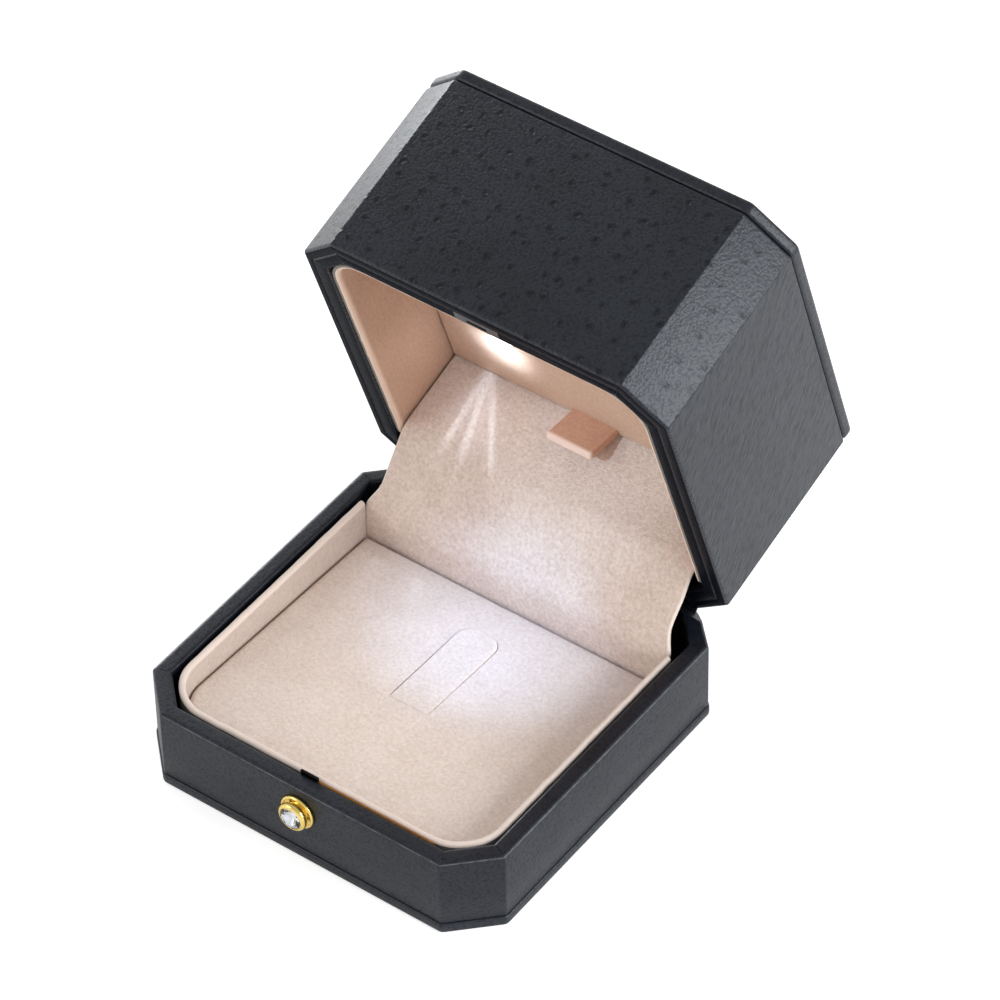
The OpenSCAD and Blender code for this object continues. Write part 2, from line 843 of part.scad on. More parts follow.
module light_leads(gap) {
    for (s = [-1, 1])
        translate([light_x + s * lead_pitch / 2, light_y, case_floor + flange_t - eps])
            cylinder(r = lead_r + gap, h = board_z + board_t + 0.5 - case_floor - flange_t);
}

// Domed light, its dome just below the ceiling velvet
module light() {
    dome_z = ceiling_z - 0.8 + light_r;
    color("#f4f6f0") open_lid() {
        translate([light_x, light_y, dome_z]) {
            intersection() {
                sphere(light_r);
                translate([0, 0, -light_r]) cylinder(r = light_r + 1, h = light_r);
            }
            cylinder(r = light_r, h = case_floor - dome_z + eps);
        }
        translate([light_x, light_y, case_floor]) cylinder(r = light_r + flange_lip, h = flange_t);
        light_leads(0);
    }
}

module coin_cell() {
    color(steel) open_lid() translate([cell_x, cell_y, case_floor + clip_t]) {
        cylinder(r = cell_r - 0.5, h = cell_t);
        translate([0, 0, 0.4]) cylinder(r = cell_r, h = cell_t - 0.4);
    }
}

// Strip bent round the cell: under it, up its side and over it
module cell_clip() {
    reach = 2 * cell_r - 2;
    right = cell_x + cell_r + 0.1;
    color(gold) open_lid() {
        for (z = [case_floor, case_floor + clip_t + cell_t])
            translate([right - reach, cell_y - clip_w / 2, z]) cube([reach, clip_w, clip_t]);
        translate([right, cell_y - clip_w / 2, case_floor]) cube([clip_t, clip_w, cell_t + 2 * clip_t]);
    }
}

module tilt_switch() {
    color(gold) open_lid() translate([light_x + 1, board_front + 3, board_z + board_t + switch_r])
        rotate([0, 90, 0]) cylinder(r = switch_r, h = switch_l);
}

base_frame();
base_cover();
bottom_board();
bottom_cover();
collar_card();
collar_velvet();
pad_foam();
pad_card();
pad_velvet();
tongue_card();
tongue_velvet();
hinge_base_leaf();
hinge_lid_leaf();
hinge_pin();
hinge_spring();
hinge_base_rivets();
hinge_lid_rivets();
spine_strip();
button_ring();
button_cap();
crystal();
catch_leaf();
catch_rivets();
catch_keeper();
lid_frame();
lid_cover();
top_board();
top_cover();
lining_card();
lining_velvet();
spacer_blocks();
back_flap();
ceiling_card();
ceiling_velvet();
pull_tab();
light_case();
light_case_cover();
circuit_board();
light();
coin_cell();
cell_clip();
tilt_switch();
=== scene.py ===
# Eight-sided ring box, standing open: black leather outside, pale velvet inside, a small light in the lid.
import bpy
import bmesh
import json
import math
from mathutils import Matrix, Vector, noise


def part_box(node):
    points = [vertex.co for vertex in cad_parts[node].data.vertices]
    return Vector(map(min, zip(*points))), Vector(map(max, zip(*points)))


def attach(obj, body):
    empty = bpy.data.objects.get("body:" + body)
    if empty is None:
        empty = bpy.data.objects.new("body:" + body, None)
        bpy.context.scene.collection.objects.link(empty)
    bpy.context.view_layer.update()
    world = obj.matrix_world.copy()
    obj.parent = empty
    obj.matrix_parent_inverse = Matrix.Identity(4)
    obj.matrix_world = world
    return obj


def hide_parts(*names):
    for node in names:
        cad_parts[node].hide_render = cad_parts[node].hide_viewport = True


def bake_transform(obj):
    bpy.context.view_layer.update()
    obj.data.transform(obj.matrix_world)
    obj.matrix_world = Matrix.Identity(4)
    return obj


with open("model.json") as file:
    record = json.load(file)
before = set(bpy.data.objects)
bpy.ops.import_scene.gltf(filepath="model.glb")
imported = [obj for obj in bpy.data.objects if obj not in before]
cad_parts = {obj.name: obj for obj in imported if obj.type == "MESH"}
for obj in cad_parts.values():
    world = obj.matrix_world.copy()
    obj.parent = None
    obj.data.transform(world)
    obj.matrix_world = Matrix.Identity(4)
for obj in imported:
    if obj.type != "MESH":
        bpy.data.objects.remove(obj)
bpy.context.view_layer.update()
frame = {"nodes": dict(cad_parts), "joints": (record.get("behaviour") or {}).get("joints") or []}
print("frame loaded:", len(frame["nodes"]), "nodes")

mm = 0.001
hinge = next(joint for joint in frame["joints"] if joint["name"] == "lid_hinge")
pin = Vector(hinge["pos_m"]) / mm
openAngle = math.radians(hinge["range_deg"][1])
shutToOpen = (Matrix.Translation(pin * mm) @ Matrix.Rotation(-openAngle, 4, "X")
              @ Matrix.Translation(-pin * mm))
openToShut = shutToOpen.inverted()


def boxRound(points):
    low = Vector([min(p[i] for p in points) for i in range(3)])
    high = Vector([max(p[i] for p in points) for i in range(3)])
    return low / mm, high / mm


def baseBox(*names):  # the nodes' box in mm, as (low, high)
    return boxRound([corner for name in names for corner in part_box(name)])


def shutBox(name):  # the same for a lid node, with the lid turned shut
    return boxRound([openToShut @ v.co for v in frame["nodes"][name].data.vertices])


def addObject(name, data):
    new = bpy.data.objects.new(name, data)
    bpy.context.scene.collection.objects.link(new)
    return new


cameraPlace = {
    "azimuth": 37.170, "elevation": 44.545, "roll": -1.360,
    "distance": 846.83, "target": (23.152, -11.226, 73.398), "lens": 203.04, "sensor": 36,
}


def placeCamera(place):
    azimuth, elevation, roll = (math.radians(place[k]) for k in ("azimuth", "elevation", "roll"))
    back = Vector((math.sin(azimuth) * math.cos(elevation), -math.cos(azimuth) * math.cos(elevation),
                   math.sin(elevation)))
    right = (-back).cross(Vector((0, 0, 1))).normalized()
    up = right.cross(-back)
    turnedRight = math.cos(roll) * right + math.sin(roll) * up
    turnedUp = -math.sin(roll) * right + math.cos(roll) * up
    eye = (Vector(place["target"]) + back * place["distance"]) * mm
    camera = addObject("camera", bpy.data.cameras.new("camera"))
    turn = Matrix((turnedRight, turnedUp, back)).transposed().to_4x4()
    camera.matrix_world = Matrix.Translation(eye) @ turn
    camera.data.lens = place["lens"]
    camera.data.sensor_width = place["sensor"]
    camera.data.clip_start = 0.01
    camera.data.clip_end = 20
    bpy.context.scene.camera = camera


def clearTree(owner):
    owner.use_nodes = True
    owner.node_tree.nodes.clear()
    return owner.node_tree


def addNode(tree, kind, inputs=None, **settings):
    new = tree.nodes.new("ShaderNode" + kind)
    for key, value in settings.items():
        setattr(new, key, value)
    setSockets(tree, new, inputs or {})
    return new


def setSockets(tree, node, values):  # a socket is linked, any other value is set
    for key, value in values.items():
        if isinstance(value, bpy.types.NodeSocket):
            tree.links.new(value, node.inputs[key])
        else:
            node.inputs[key].default_value = value


def addAfter(kind, inputs, **settings):  # into the tree of its first linked socket
    linked = next(value for value in inputs.values() if isinstance(value, bpy.types.NodeSocket))
    return addNode(linked.id_data, kind, inputs, **settings)


def addRamp(factor, stops, mode="LINEAR"):
    ramp = addAfter("ValToRGB", {"Fac": factor})
    ramp.color_ramp.interpolation = mode
    while len(ramp.color_ramp.elements) < len(stops):
        ramp.color_ramp.elements.new(0.5)
    for element, (place, shade) in zip(ramp.color_ramp.elements, stops):
        element.position = place
        element.color = (shade, shade, shade, 1)
    return ramp.outputs["Color"]


def addMath(operation, a, b=0.0):
    return addAfter("Math", {0: a, 1: b}, operation=operation).outputs[0]


def plus(a, b):
    return addMath("ADD", a, b)


def times(a, b):
    return addMath("MULTIPLY", a, b)


def addMix(factor, a, b, blend="MIX"):
    ends = {key: value if isinstance(value, bpy.types.NodeSocket) else (*value, 1)
            for key, value in ((6, a), (7, b))}  # the node's two colour sockets
    return addAfter("Mix", {"Factor": factor, **ends}, data_type="RGBA", blend_type=blend).outputs[2]


def addNoise(place, scale, detail=2.0, roughness=0.5, distortion=0.0):
    return addAfter("TexNoise", {"Vector": place, "Scale": scale, "Detail": detail, "Roughness": roughness,
                                 "Distortion": distortion}).outputs


def addSpread(value, low, high, fromLow=0.0, fromHigh=1.0, curve="LINEAR"):
    return addAfter("MapRange", {"Value": value, 1: fromLow, 2: fromHigh, 3: low, 4: high},
                    interpolation_type=curve).outputs[0]


def addBump(height, depth=1.0, strength=1.0):
    return addAfter("Bump", {"Height": height, "Strength": strength, "Distance": depth * mm}).outputs[0]


def shaded(colour, share):
    return tuple(c * share for c in colour)


def lamp(name, place, aim, power, size, colour=(1, 1, 1), kind="AREA", cone=None):
    light = bpy.data.lights.new(name, kind)
    light.energy = power
    light.color = colour
    if kind == "AREA":
        light.shape = "SQUARE"
        light.size = size * mm
    else:
        light.shadow_soft_size = size * mm
    if cone:
        light.spot_size = math.radians(cone)
        light.spot_blend = 1.0
    holder = addObject(name, light)
    place, aim = Vector(place) * mm, Vector(aim) * mm
    turn = (aim - place).to_track_quat("-Z", "Y").to_matrix().to_4x4()
    holder.matrix_world = Matrix.Translation(place) @ turn
    return holder


studio = {
    "skyWhite": 1.0, "skyWhiteTo": 0.30, "skyTop": 0.62, "skyTopFrom": 0.72, "skyStrength": 0.92,
    "aim": (0, 5, 30), "floorSize": 4.0, "floorSquares": 8, "floorColour": (0.80, 0.80, 0.80),
    "floorSpeck": 30.0, "floorShade": 0.985, "floorGlow": 0.555, "floorMirror": 0.18,
}
studioLamps = {
    "keyLamp": {"place": (-520, -560, 420), "power": 1.4, "size": 420, "colour": (1.0, 0.985, 0.96)},
    "sideLamp": {"place": (700, 120, 330), "power": 5.2, "size": 420, "colour": (0.95, 0.975, 1.0)},
    "backLamp": {"place": (-640, 420, 150), "power": 3.0, "size": 260, "colour": (0.95, 0.975, 1.0)},
}


def buildSky():
    world = bpy.data.worlds.new("studio")
    tree = clearTree(world)
    direction = addNode(tree, "TexCoord").outputs["Generated"]
    height = addNode(tree, "SeparateXYZ", {0: direction}).outputs["Z"]
    sky = addRamp(height, [(0.0, studio["skyWhite"]), (studio["skyWhiteTo"], studio["skyWhite"]),
                           (studio["skyTopFrom"], studio["skyTop"])])
    lit = addNode(tree, "Background", {"Color": sky, "Strength": studio["skyStrength"]})
    seen = addNode(tree, "Background", {"Color": (1, 1, 1, 1), "Strength": 1.0})
    toCamera = addNode(tree, "LightPath").outputs["Is Camera Ray"]
    both = addNode(tree, "MixShader", {0: toCamera, 1: lit.outputs[0], 2: seen.outputs[0]})
    addNode(tree, "OutputWorld", {"Surface": both.outputs[0]})
    bpy.context.scene.world = world


def buildFloor():
    mesh = bpy.data.meshes.new("floor")
    floor = addObject("floor", mesh)
    sheet = bmesh.new()
    squares = studio["floorSquares"]
    bmesh.ops.create_grid(sheet, x_segments=squares, y_segments=squares, size=studio["floorSize"])
    sheet.to_mesh(mesh)
    sheet.free()
    material = bpy.data.materials.new("floorPaper")
    tree = clearTree(material)
    paths = addNode(tree, "LightPath").outputs
    mirrored = addMath("MAXIMUM", paths["Is Glossy Ray"], paths["Is Transmission Ray"])
    strength = plus(times(paths["Is Camera Ray"], studio["floorGlow"]),
                    times(mirrored, studio["floorMirror"]))
    spot = addNode(tree, "TexCoord").outputs["Object"]
    speck = addNoise(spot, studio["floorSpeck"])[0]
    colour = addMix(speck, studio["floorColour"], shaded(studio["floorColour"], studio["floorShade"]))
    paper = addNode(tree, "BsdfDiffuse", {"Color": colour})
    glow = addNode(tree, "Emission", {"Color": (1, 1, 1, 1), "Strength": strength})
    both = addNode(tree, "AddShader", {0: paper.outputs[0], 1: glow.outputs[0]})
    addNode(tree, "OutputMaterial", {"Surface": both.outputs[0]})
    mesh.materials.append(material)


placeCamera(cameraPlace)
buildSky()
for name, look in studioLamps.items():
    lamp(name, aim=studio["aim"], **look)
buildFloor()
bpy.context.scene.view_settings.view_transform = "Standard"
print("camera and studio ready")


def newFinish(name, build, *look, **more):  # build gives what goes into the shader's sockets
    material = bpy.data.materials.new(name)
    tree = clearTree(material)
    shader = addNode(tree, "BsdfPrincipled")
    addNode(tree, "OutputMaterial", {"Surface": shader.outputs[0]})
    spot = addNode(tree, "TexCoord").outputs["Object"]
    setSockets(tree, shader, build(spot, *look, **more))
    return material


def marked(spot, key):  # the value that newPiece marked on the mesh
    return addNode(spot.id_data, "Attribute", attribute_name=key).outputs["Fac"]


# the grey edge colour is a painted highlight along the base's rounded rim edge
leather = {
    "dark": (0.0045, 0.0062, 0.0110), "light": (0.0100, 0.0128, 0.0200), "darkFrom": 0.38, "lightFrom": 0.62,
    "gapShade": 0.4, "gapShadeShare": 0.4, "edgeHighlight": (0.11, 0.112, 0.12), "specularTint": (0.88, 0.93, 1.0, 1),
    "pebble": 0.42, "wander": 900.0, "bend": 0.0005, "fine": 4200.0, "fineShare": 0.6, "broad": 75.0,
    "fold": 620.0, "ior": 1.47, "specular": 0.2, "coat": 0.68, "coatRough": 0.42,
}
quill = {
    "spacing": 4.3, "scatter": 0.7, "wander": 300.0, "bend": 0.0012, "size": 0.115, "depth": 0.14,
    "dark": (0.001, 0.001, 0.0015), "pit": ((0.0, 0.0), (0.6, 0.3), (1, 0.9), (1.45, 1.0), (2.2, 0.8)),
    "stain": ((0.0, 1.0), (0.5, 0.9), (1.9, 0.0)),
}


def leatherSockets(spot, turn=0.0, stretch=(1, 1, 1), pebble=0.03, crease=0.025, quills=0.0,
                   roughness=(0.34, 0.48), tint=1.0, coat=1.0):
    flat = addAfter("Mapping", {"Vector": spot, "Rotation": (turn, 0, 0)}).outputs[0]  # Y runs up the panel
    place = addAfter("Mapping", {"Vector": flat, "Scale": stretch}).outputs[0]
    bent = addMix(leather["bend"], place, addNoise(place, leather["wander"])["Color"], "ADD")
    cells = addAfter("TexVoronoi", {"Vector": bent, "Scale": 1000 / leather["pebble"]},
                     feature="SMOOTH_F1").outputs["Distance"]
    bead = addRamp(cells, [(0.15, 1.0), (0.75, 0.0)], "EASE")
    fine = addNoise(place, leather["fine"], 3.0, 0.6)[0]
    broad = addNoise(spot, leather["broad"], 4.0)[0]
    fold = addNoise(place, leather["fold"], 5.0, 0.62, 0.5)[0]
    height = plus(times(bead, pebble), times(fine, pebble * leather["fineShare"]))
    height = plus(height, times(fold, crease * 2))

    share = plus(times(broad, 0.6), times(fold, 0.4))
    share = addRamp(share, [(leather["darkFrom"], 0.0), (leather["lightFrom"], 1.0)])
    colour = addMix(share, shaded(leather["dark"], tint), shaded(leather["light"], tint))
    # painted shade: the gaps between the pebbles are darkened
    paintedGapShade = times(addMath("SUBTRACT", 1.0, bead), leather["gapShadeShare"])
    colour = addMix(paintedGapShade, colour, shaded(leather["dark"], leather["gapShade"]))
    # painted highlight: a pale grey line on the marked rim edge, broken up by the fold noise
    edgeHighlight = times(marked(spot, "paintedEdgeHighlight"), addRamp(fold, [(0.35, 0.35), (0.6, 1.0)]))
    colour = addMix(edgeHighlight, colour, leather["edgeHighlight"])
    gloss = times(addRamp(bead, [(0.0, 0.6), (0.6, 1.0)]), leather["coat"] * coat)

    if quills:
        uneven = addMix(quill["bend"], flat, addNoise(flat, quill["wander"])["Color"], "ADD")
        dots = addAfter("TexVoronoi", {"Vector": uneven, "Scale": 1000 / quill["spacing"],
                                       "Randomness": quill["scatter"]},
                        voronoi_dimensions="2D", feature="F1").outputs["Distance"]
        size = quill["size"]
        pit = addRamp(dots, [(size * away, level) for away, level in quill["pit"]], "EASE")
        stain = addRamp(dots, [(size * away, level * quills) for away, level in quill["stain"]], "EASE")
        height = plus(height, times(pit, quill["depth"] * quills))
        colour = addMix(stain, colour, quill["dark"])
        gloss = times(gloss, addMath("SUBTRACT", 1.0, stain))
    bump = addBump(height)
    return {
        "Base Color": colour, "Roughness": addSpread(fold, *roughness), "Normal": bump, "IOR": leather["ior"],
        "Specular IOR Level": leather["specular"] * coat, "Specular Tint": leather["specularTint"],
        "Coat Weight": gloss, "Coat IOR": leather["ior"], "Coat Roughness": leather["coatRough"],
        "Coat Normal": bump,
    }


velvet = {
    "mottle": 0.6, "mottleShare": 0.34, "broad": 130.0, "fibre": 0.15, "fibreDepth": 0.05, "lumpDepth": 0.10,
    "edgeShare": 0.85, "roughness": 0.95, "specular": 0.12, "sheen": 0.3, "sheenRough": 0.4,
    "sheenTint": (1.0, 0.93, 0.88, 1),
}


def velvetSockets(spot, light, dark, edge, nap=1.0):
    mottle = addNoise(spot, 1000 / velvet["mottle"], 3.0, 0.62, 0.3)[0]
    broad = addNoise(spot, velvet["broad"], 3.0, 0.55)[0]
    fibre = addNoise(spot, 1000 / velvet["fibre"])[0]
    share = plus(times(mottle, 0.72), times(broad, 0.28))
    half = velvet["mottleShare"] / 2
    colour = addMix(addRamp(share, [(0.5 - half, 0.0), (0.5 + half, 1.0)]), dark, light)
    # painted highlight: marked edges are mixed toward the pale edge colour
    colour = addMix(times(marked(spot, "paintedEdgeLight"), velvet["edgeShare"]), colour, edge)
    height = plus(times(fibre, velvet["fibreDepth"] * nap), times(mottle, velvet["lumpDepth"] * nap))
    return {
        "Base Color": colour, "Roughness": velvet["roughness"], "Normal": addBump(height),
        "Specular IOR Level": velvet["specular"], "Sheen Weight": velvet["sheen"],
        "Sheen Roughness": velvet["sheenRough"], "Sheen Tint": velvet["sheenTint"],
    }


metal = {"grain": 900.0, "brushStretch": 8, "depth": 0.02, "strength": 0.25, "paint": (0.012, 0.012, 0.014),
         "paintBlur": 0.1}


def metalSockets(spot, colour, shade, roughness, brush=0.0, tipFrom=None):
    stretch = (1, 1 + brush * metal["brushStretch"], 1)
    place = addAfter("Mapping", {"Vector": spot, "Scale": stretch}).outputs[0]
    grain = addNoise(place, metal["grain"], 4.0)[0]
    tint = addMix(grain, colour, shade)
    if tipFrom:  # painted black from this height up
        height = addAfter("SeparateXYZ", {0: spot}).outputs["Z"]
        blur = metal["paintBlur"]
        tip = addSpread(height, 0.0, 1.0, (tipFrom - blur) * mm, (tipFrom + blur) * mm)
        tint = addMix(tip, tint, metal["paint"])
    return {
        "Base Color": tint, "Metallic": 1.0, "Roughness": addSpread(grain, roughness * 0.8, roughness * 1.25),
        "Normal": addBump(grain, metal["depth"], metal["strength"]),
    }


def plainSockets(spot, colour, shade, roughness, scale, depth):
    grain = addNoise(spot, scale, 4.0)[0]
    return {
        "Base Color": addMix(grain, colour, shade), "Normal": addBump(grain, depth),
        "Roughness": addSpread(grain, roughness - 0.05, roughness + 0.05),
    }


def crystalSockets(spot):
    haze = addNoise(spot, 700.0)[0]
    return {
        "Base Color": addMix(haze, (0.97, 0.98, 1.0), (0.92, 0.95, 1.0)),
        "Roughness": addSpread(haze, 0.01, 0.05), "IOR": 1.65, "Transmission Weight": 1.0,
    }


def lensSockets(spot):
    glow = addMix(addNoise(spot, 800.0)[0], (1.0, 1.0, 1.0), (0.93, 0.96, 1.0))
    return {"Base Color": glow, "Roughness": 0.3, "Emission Color": glow, "Emission Strength": 9.0}


upright = openAngle - math.pi / 2  # turns the open lid's front panel into the pattern's plane
leatherLooks = {
    "lidLeather": {"turn": upright, "pebble": 0.05, "quills": 0.62},
    "bevelLeather": {"turn": upright, "pebble": 0.022, "crease": 0.035, "quills": 0.3},
    # the rim's leather is a darker copy of the lid's: painted shade on the lip
    "shadedRimLeather": {"pebble": 0.02, "crease": 0.03, "coat": 0.1, "tint": 0.7},
    "sideLeather": {"turn": math.radians(27), "stretch": (1, 1, 0.34), "pebble": 0.02, "crease": 0.085,
                    "roughness": (0.38, 0.5)},
    "baseLeather": {"pebble": 0.018, "crease": 0.02, "coat": 0.8},
    "plateLeather": {"pebble": 0.014, "crease": 0.018},
    "stripLeather": {"pebble": 0.008, "crease": 0.01, "tint": 0.7},
}
# the pale colour of the painted highlight on velvet edges
highlightCream = (0.80, 0.69, 0.61)
velvetLooks = {  # light, dark, painted highlight on folded edges, depth of the nap
    "padVelvet": ((0.82, 0.71, 0.64), (0.65, 0.54, 0.47), highlightCream),
    "flapVelvet": ((0.87, 0.73, 0.645), (0.64, 0.49, 0.415), highlightCream, 2.6),
    # a darker copy of the pad's velvet: painted shade on the collar's inner walls
    "shadedCollarVelvet": ((0.57, 0.475, 0.42), (0.46, 0.37, 0.325), (0.74, 0.63, 0.56), 0.8),
    "liningVelvet": ((0.62, 0.41, 0.295), (0.50, 0.315, 0.215), (0.88, 0.68, 0.55), 0.7),
    "tabVelvet": ((0.66, 0.38, 0.26), (0.55, 0.30, 0.20), (0.82, 0.62, 0.52), 0.6),
}
catchTip = baseBox("base_cover")[1].z - 0.15
metalLooks = {  # colour, shade, roughness, brushing, painted from
    "buttonGold": ((0.96, 0.76, 0.27), (0.88, 0.62, 0.17), 0.15),
    "springBrass": ((0.62, 0.30, 0.08), (0.48, 0.22, 0.06), 0.28, 1.0),
    "catchBrass": ((0.62, 0.30, 0.08), (0.48, 0.22, 0.06), 0.28, 1.0, catchTip),
    "hingeSteel": ((0.60, 0.61, 0.63), (0.48, 0.49, 0.50), 0.3, 1.0),
    "keeperSteel": ((0.22, 0.23, 0.24), (0.14, 0.14, 0.15), 0.35),
    "stoneFoil": ((0.93, 0.94, 0.95), (0.80, 0.82, 0.84), 0.08),
    "cellMetal": ((0.72, 0.73, 0.74), (0.62, 0.63, 0.65), 0.22),
}
plainLooks = {  # colour, shade, roughness, scale and depth of the grain
    "greyBoard": ((0.25, 0.23, 0.21), (0.19, 0.175, 0.16), 0.9, 1500.0, 0.06),
    "bottomBoard": ((0.35, 0.25, 0.16), (0.27, 0.185, 0.115), 0.75, 500.0, 0.05),
    "frameBlack": ((0.05, 0.05, 0.055), (0.035, 0.035, 0.04), 0.6, 900.0, 0.02),
    "padFoam": ((0.78, 0.76, 0.70), (0.66, 0.63, 0.56), 0.95, 1800.0, 0.2),
    "whitePlastic": ((0.80, 0.80, 0.78), (0.74, 0.74, 0.72), 0.4, 700.0, 0.01),
    "greenBoard": ((0.035, 0.14, 0.065), (0.025, 0.10, 0.05), 0.35, 1200.0, 0.02),
}
finishes = {name: newFinish(name, leatherSockets, **look) for name, look in leatherLooks.items()}
for build, looks in ((velvetSockets, velvetLooks), (metalSockets, metalLooks), (plainSockets, plainLooks),
                     (crystalSockets, {"crystalGlass": ()}), (lensSockets, {"lightLens": ()})):
    finishes.update({name: newFinish(name, build, *look) for name, look in looks.items()})

finishedNodes = {
    "baseLeather": ["base_cover"], "lidLeather": ["lid_cover"], "plateLeather": ["bottom_cover", "top_cover"],
    "stripLeather": ["spine_strip"], "padVelvet": ["pad_velvet", "tongue_velvet"],
    "flapVelvet": ["back_flap"], "shadedCollarVelvet": ["collar_velvet"], "tabVelvet": ["pull_tab"],
    "liningVelvet": ["lining_velvet", "ceiling_velvet"], "buttonGold": ["button_ring", "button_cap"],
    "crystalGlass": ["crystal"], "catchBrass": ["catch_leaf"], "springBrass": ["catch_rivets", "cell_clip"],
    "keeperSteel": ["catch_keeper"], "cellMetal": ["coin_cell", "tilt_switch"],
    "hingeSteel": ["hinge_base_leaf", "hinge_lid_leaf", "hinge_pin", "hinge_spring", "hinge_base_rivets",
                   "hinge_lid_rivets"],
    "greyBoard": ["collar_card", "pad_card", "tongue_card", "lid_frame", "top_board", "lining_card",
                  "spacer_blocks", "ceiling_card"],
    "frameBlack": ["base_frame"], "bottomBoard": ["bottom_board"], "padFoam": ["pad_foam"],
    "whitePlastic": ["light_case", "light_case_cover"], "greenBoard": ["circuit_board"],
    "lightLens": ["light"],
}
for finish, names in finishedNodes.items():
    for name in names:
        frame["nodes"][name].data.materials.clear()
        frame["nodes"][name].data.materials.append(finishes[finish])
print("finishes ready")


def newPiece(name, verts, faces, finish, marks=None):  # verts in mm; marks: a value for each vertex
    mesh = bpy.data.meshes.new(name)
    mesh.from_pydata([Vector(v) * mm for v in verts], [], faces)
    piece = addObject(name, mesh)
    mesh.materials.append(finishes[finish])
    for key, values in (marks or {}).items():
        mesh.attributes.new(key, "FLOAT", "POINT").data.foreach_set("value", values)
    work = bmesh.new()
    work.from_mesh(mesh)
    bmesh.ops.remove_doubles(work, verts=work.verts, dist=0.0005 * mm)
    bmesh.ops.dissolve_degenerate(work, edges=work.edges, dist=0.0002 * mm)
    bmesh.ops.recalc_face_normals(work, faces=work.faces)
    work.to_mesh(mesh)
    work.free()
    return piece


def settle(piece, turn=None, sharp=40):  # modifiers into the mesh, then the lid's turn and the shading
    bpy.context.view_layer.update()
    graph = bpy.context.evaluated_depsgraph_get()
    mesh = bpy.data.meshes.new_from_object(piece.evaluated_get(graph), preserve_all_data_layers=True,
                                           depsgraph=graph)
    piece.modifiers.clear()
    old, piece.data = piece.data, mesh
    bpy.data.meshes.remove(old)
    mesh.name = piece.name
    if turn is not None:
        mesh.transform(turn)
    mesh.shade_smooth()
    mesh.set_sharp_from_angle(angle=math.radians(sharp))
    mesh.update()


def tubeFaces(count, rows, closed=False, ends=True):  # rings of count points, joined one to the next
    faces = []
    for j in range(rows if closed else rows - 1):
        a, b = j * count, ((j + 1) % rows) * count
        faces += [(a + k, a + (k + 1) % count, b + (k + 1) % count, b + k) for k in range(count)]
    if ends and not closed:
        faces += [tuple(range(count)), tuple(range((rows - 1) * count, rows * count))]
    return faces


def slabFaces(wide, rows):  # two grids of the same size, closed round their edge
    total = wide * rows
    faces = []
    for j in range(rows - 1):
        for a in range(j * wide, j * wide + wide - 1):
            b = total + a
            faces += [(a, a + 1, a + wide + 1, a + wide), (b, b + wide, b + wide + 1, b + 1)]
    rim = list(range(wide)) + [j * wide + wide - 1 for j in range(1, rows)]
    rim += [(rows - 1) * wide + i for i in range(wide - 2, -1, -1)]
    rim += [j * wide for j in range(rows - 2, 0, -1)]
    return faces + [(a, total + a, total + b, b) for a, b in zip(rim, rim[1:] + rim[:1])]


def arc(centreA, centreB, radius, fromDegrees, toDegrees, steps):
    turns = [math.radians(fromDegrees + (toDegrees - fromDegrees) * i / steps) for i in range(steps + 1)]
    return [(centreA + radius * math.cos(t), centreB + radius * math.sin(t)) for t in turns]


def circle(radius, sides, shift=0):
    turns = [2 * math.pi * (k + shift) / sides for k in range(sides)]
    return [(radius * math.cos(t), radius * math.sin(t)) for t in turns]


def blockCutter(low, high, turn=None):
    verts = [(x, y, z) for x in (low[0], high[0]) for y in (low[1], high[1]) for z in (low[2], high[2])]
    faces = [(0, 1, 3, 2), (4, 6, 7, 5), (0, 4, 5, 1), (2, 3, 7, 6), (0, 2, 6, 4), (1, 5, 7, 3)]
    cutter = newPiece("cutter", verts, faces, "frameBlack")
    if turn is not None:
        cutter.data.transform(turn)
    return cutter


def rodCutter(start, end, radius, sides=40):
    start, end = Vector(start), Vector(end)
    turn = (end - start).to_track_quat("Z", "X").to_matrix()
    verts = [centre + turn @ Vector((x, y, 0)) for centre in (start, end) for x, y in circle(radius, sides)]
    ends = [tuple(range(sides - 1, -1, -1)), tuple(range(sides, 2 * sides))]
    return newPiece("cutter", verts, tubeFaces(sides, 2, ends=False) + ends, "frameBlack")


def carve(piece, *cutters):
    for cutter in cutters:
        cut = piece.modifiers.new("cut", "BOOLEAN")
        cut.operation = "DIFFERENCE"
        cut.solver = "EXACT"
        cut.object = cutter
    settle(piece)
    for cutter in cutters:
        bpy.data.objects.remove(cutter)


shell = {
    "width": 70.0, "depth": 70.0, "cutCorner": 7.3, "cornerRound": 0.55, "leastRound": 0.22, "edge": 0.7,
    "innerEdge": 0.45, "rimFlat": 1.15, "mitreDip": 0.16, "bevelGap": 0.45, "bevelReach": 12, "bevelHalf": 60,
    "capInset": 9,
}
slant = 2 - math.sqrt(2)


def octagonRing(inset, z, corner, steps=4, dip=0.0):
    halfX, halfY = shell["width"] / 2 - inset, shell["depth"] / 2 - inset
    cut = shell["cutCorner"] - inset * slant
    tips = [(halfX, cut - halfY), (halfX, halfY - cut), (halfX - cut, halfY), (cut - halfX, halfY),
            (-halfX, halfY - cut), (-halfX, cut - halfY), (cut - halfX, -halfY), (halfX - cut, -halfY)]
    ring = []
    for i, tip in enumerate(tips):
        here = Vector(tip)
        along = (here - Vector(tips[i - 1])).normalized()
        inward = Vector((-along.y, along.x))
        centre = here - along * corner * math.tan(math.radians(22.5)) + inward * corner
        for s in range(steps + 1):
            turned = Matrix.Rotation(math.radians(45) * s / steps, 2) @ (-inward)
            point = centre + turned * corner
            ring.append((point.x, point.y, z + (dip if s == steps // 2 else 0)))
    return ring


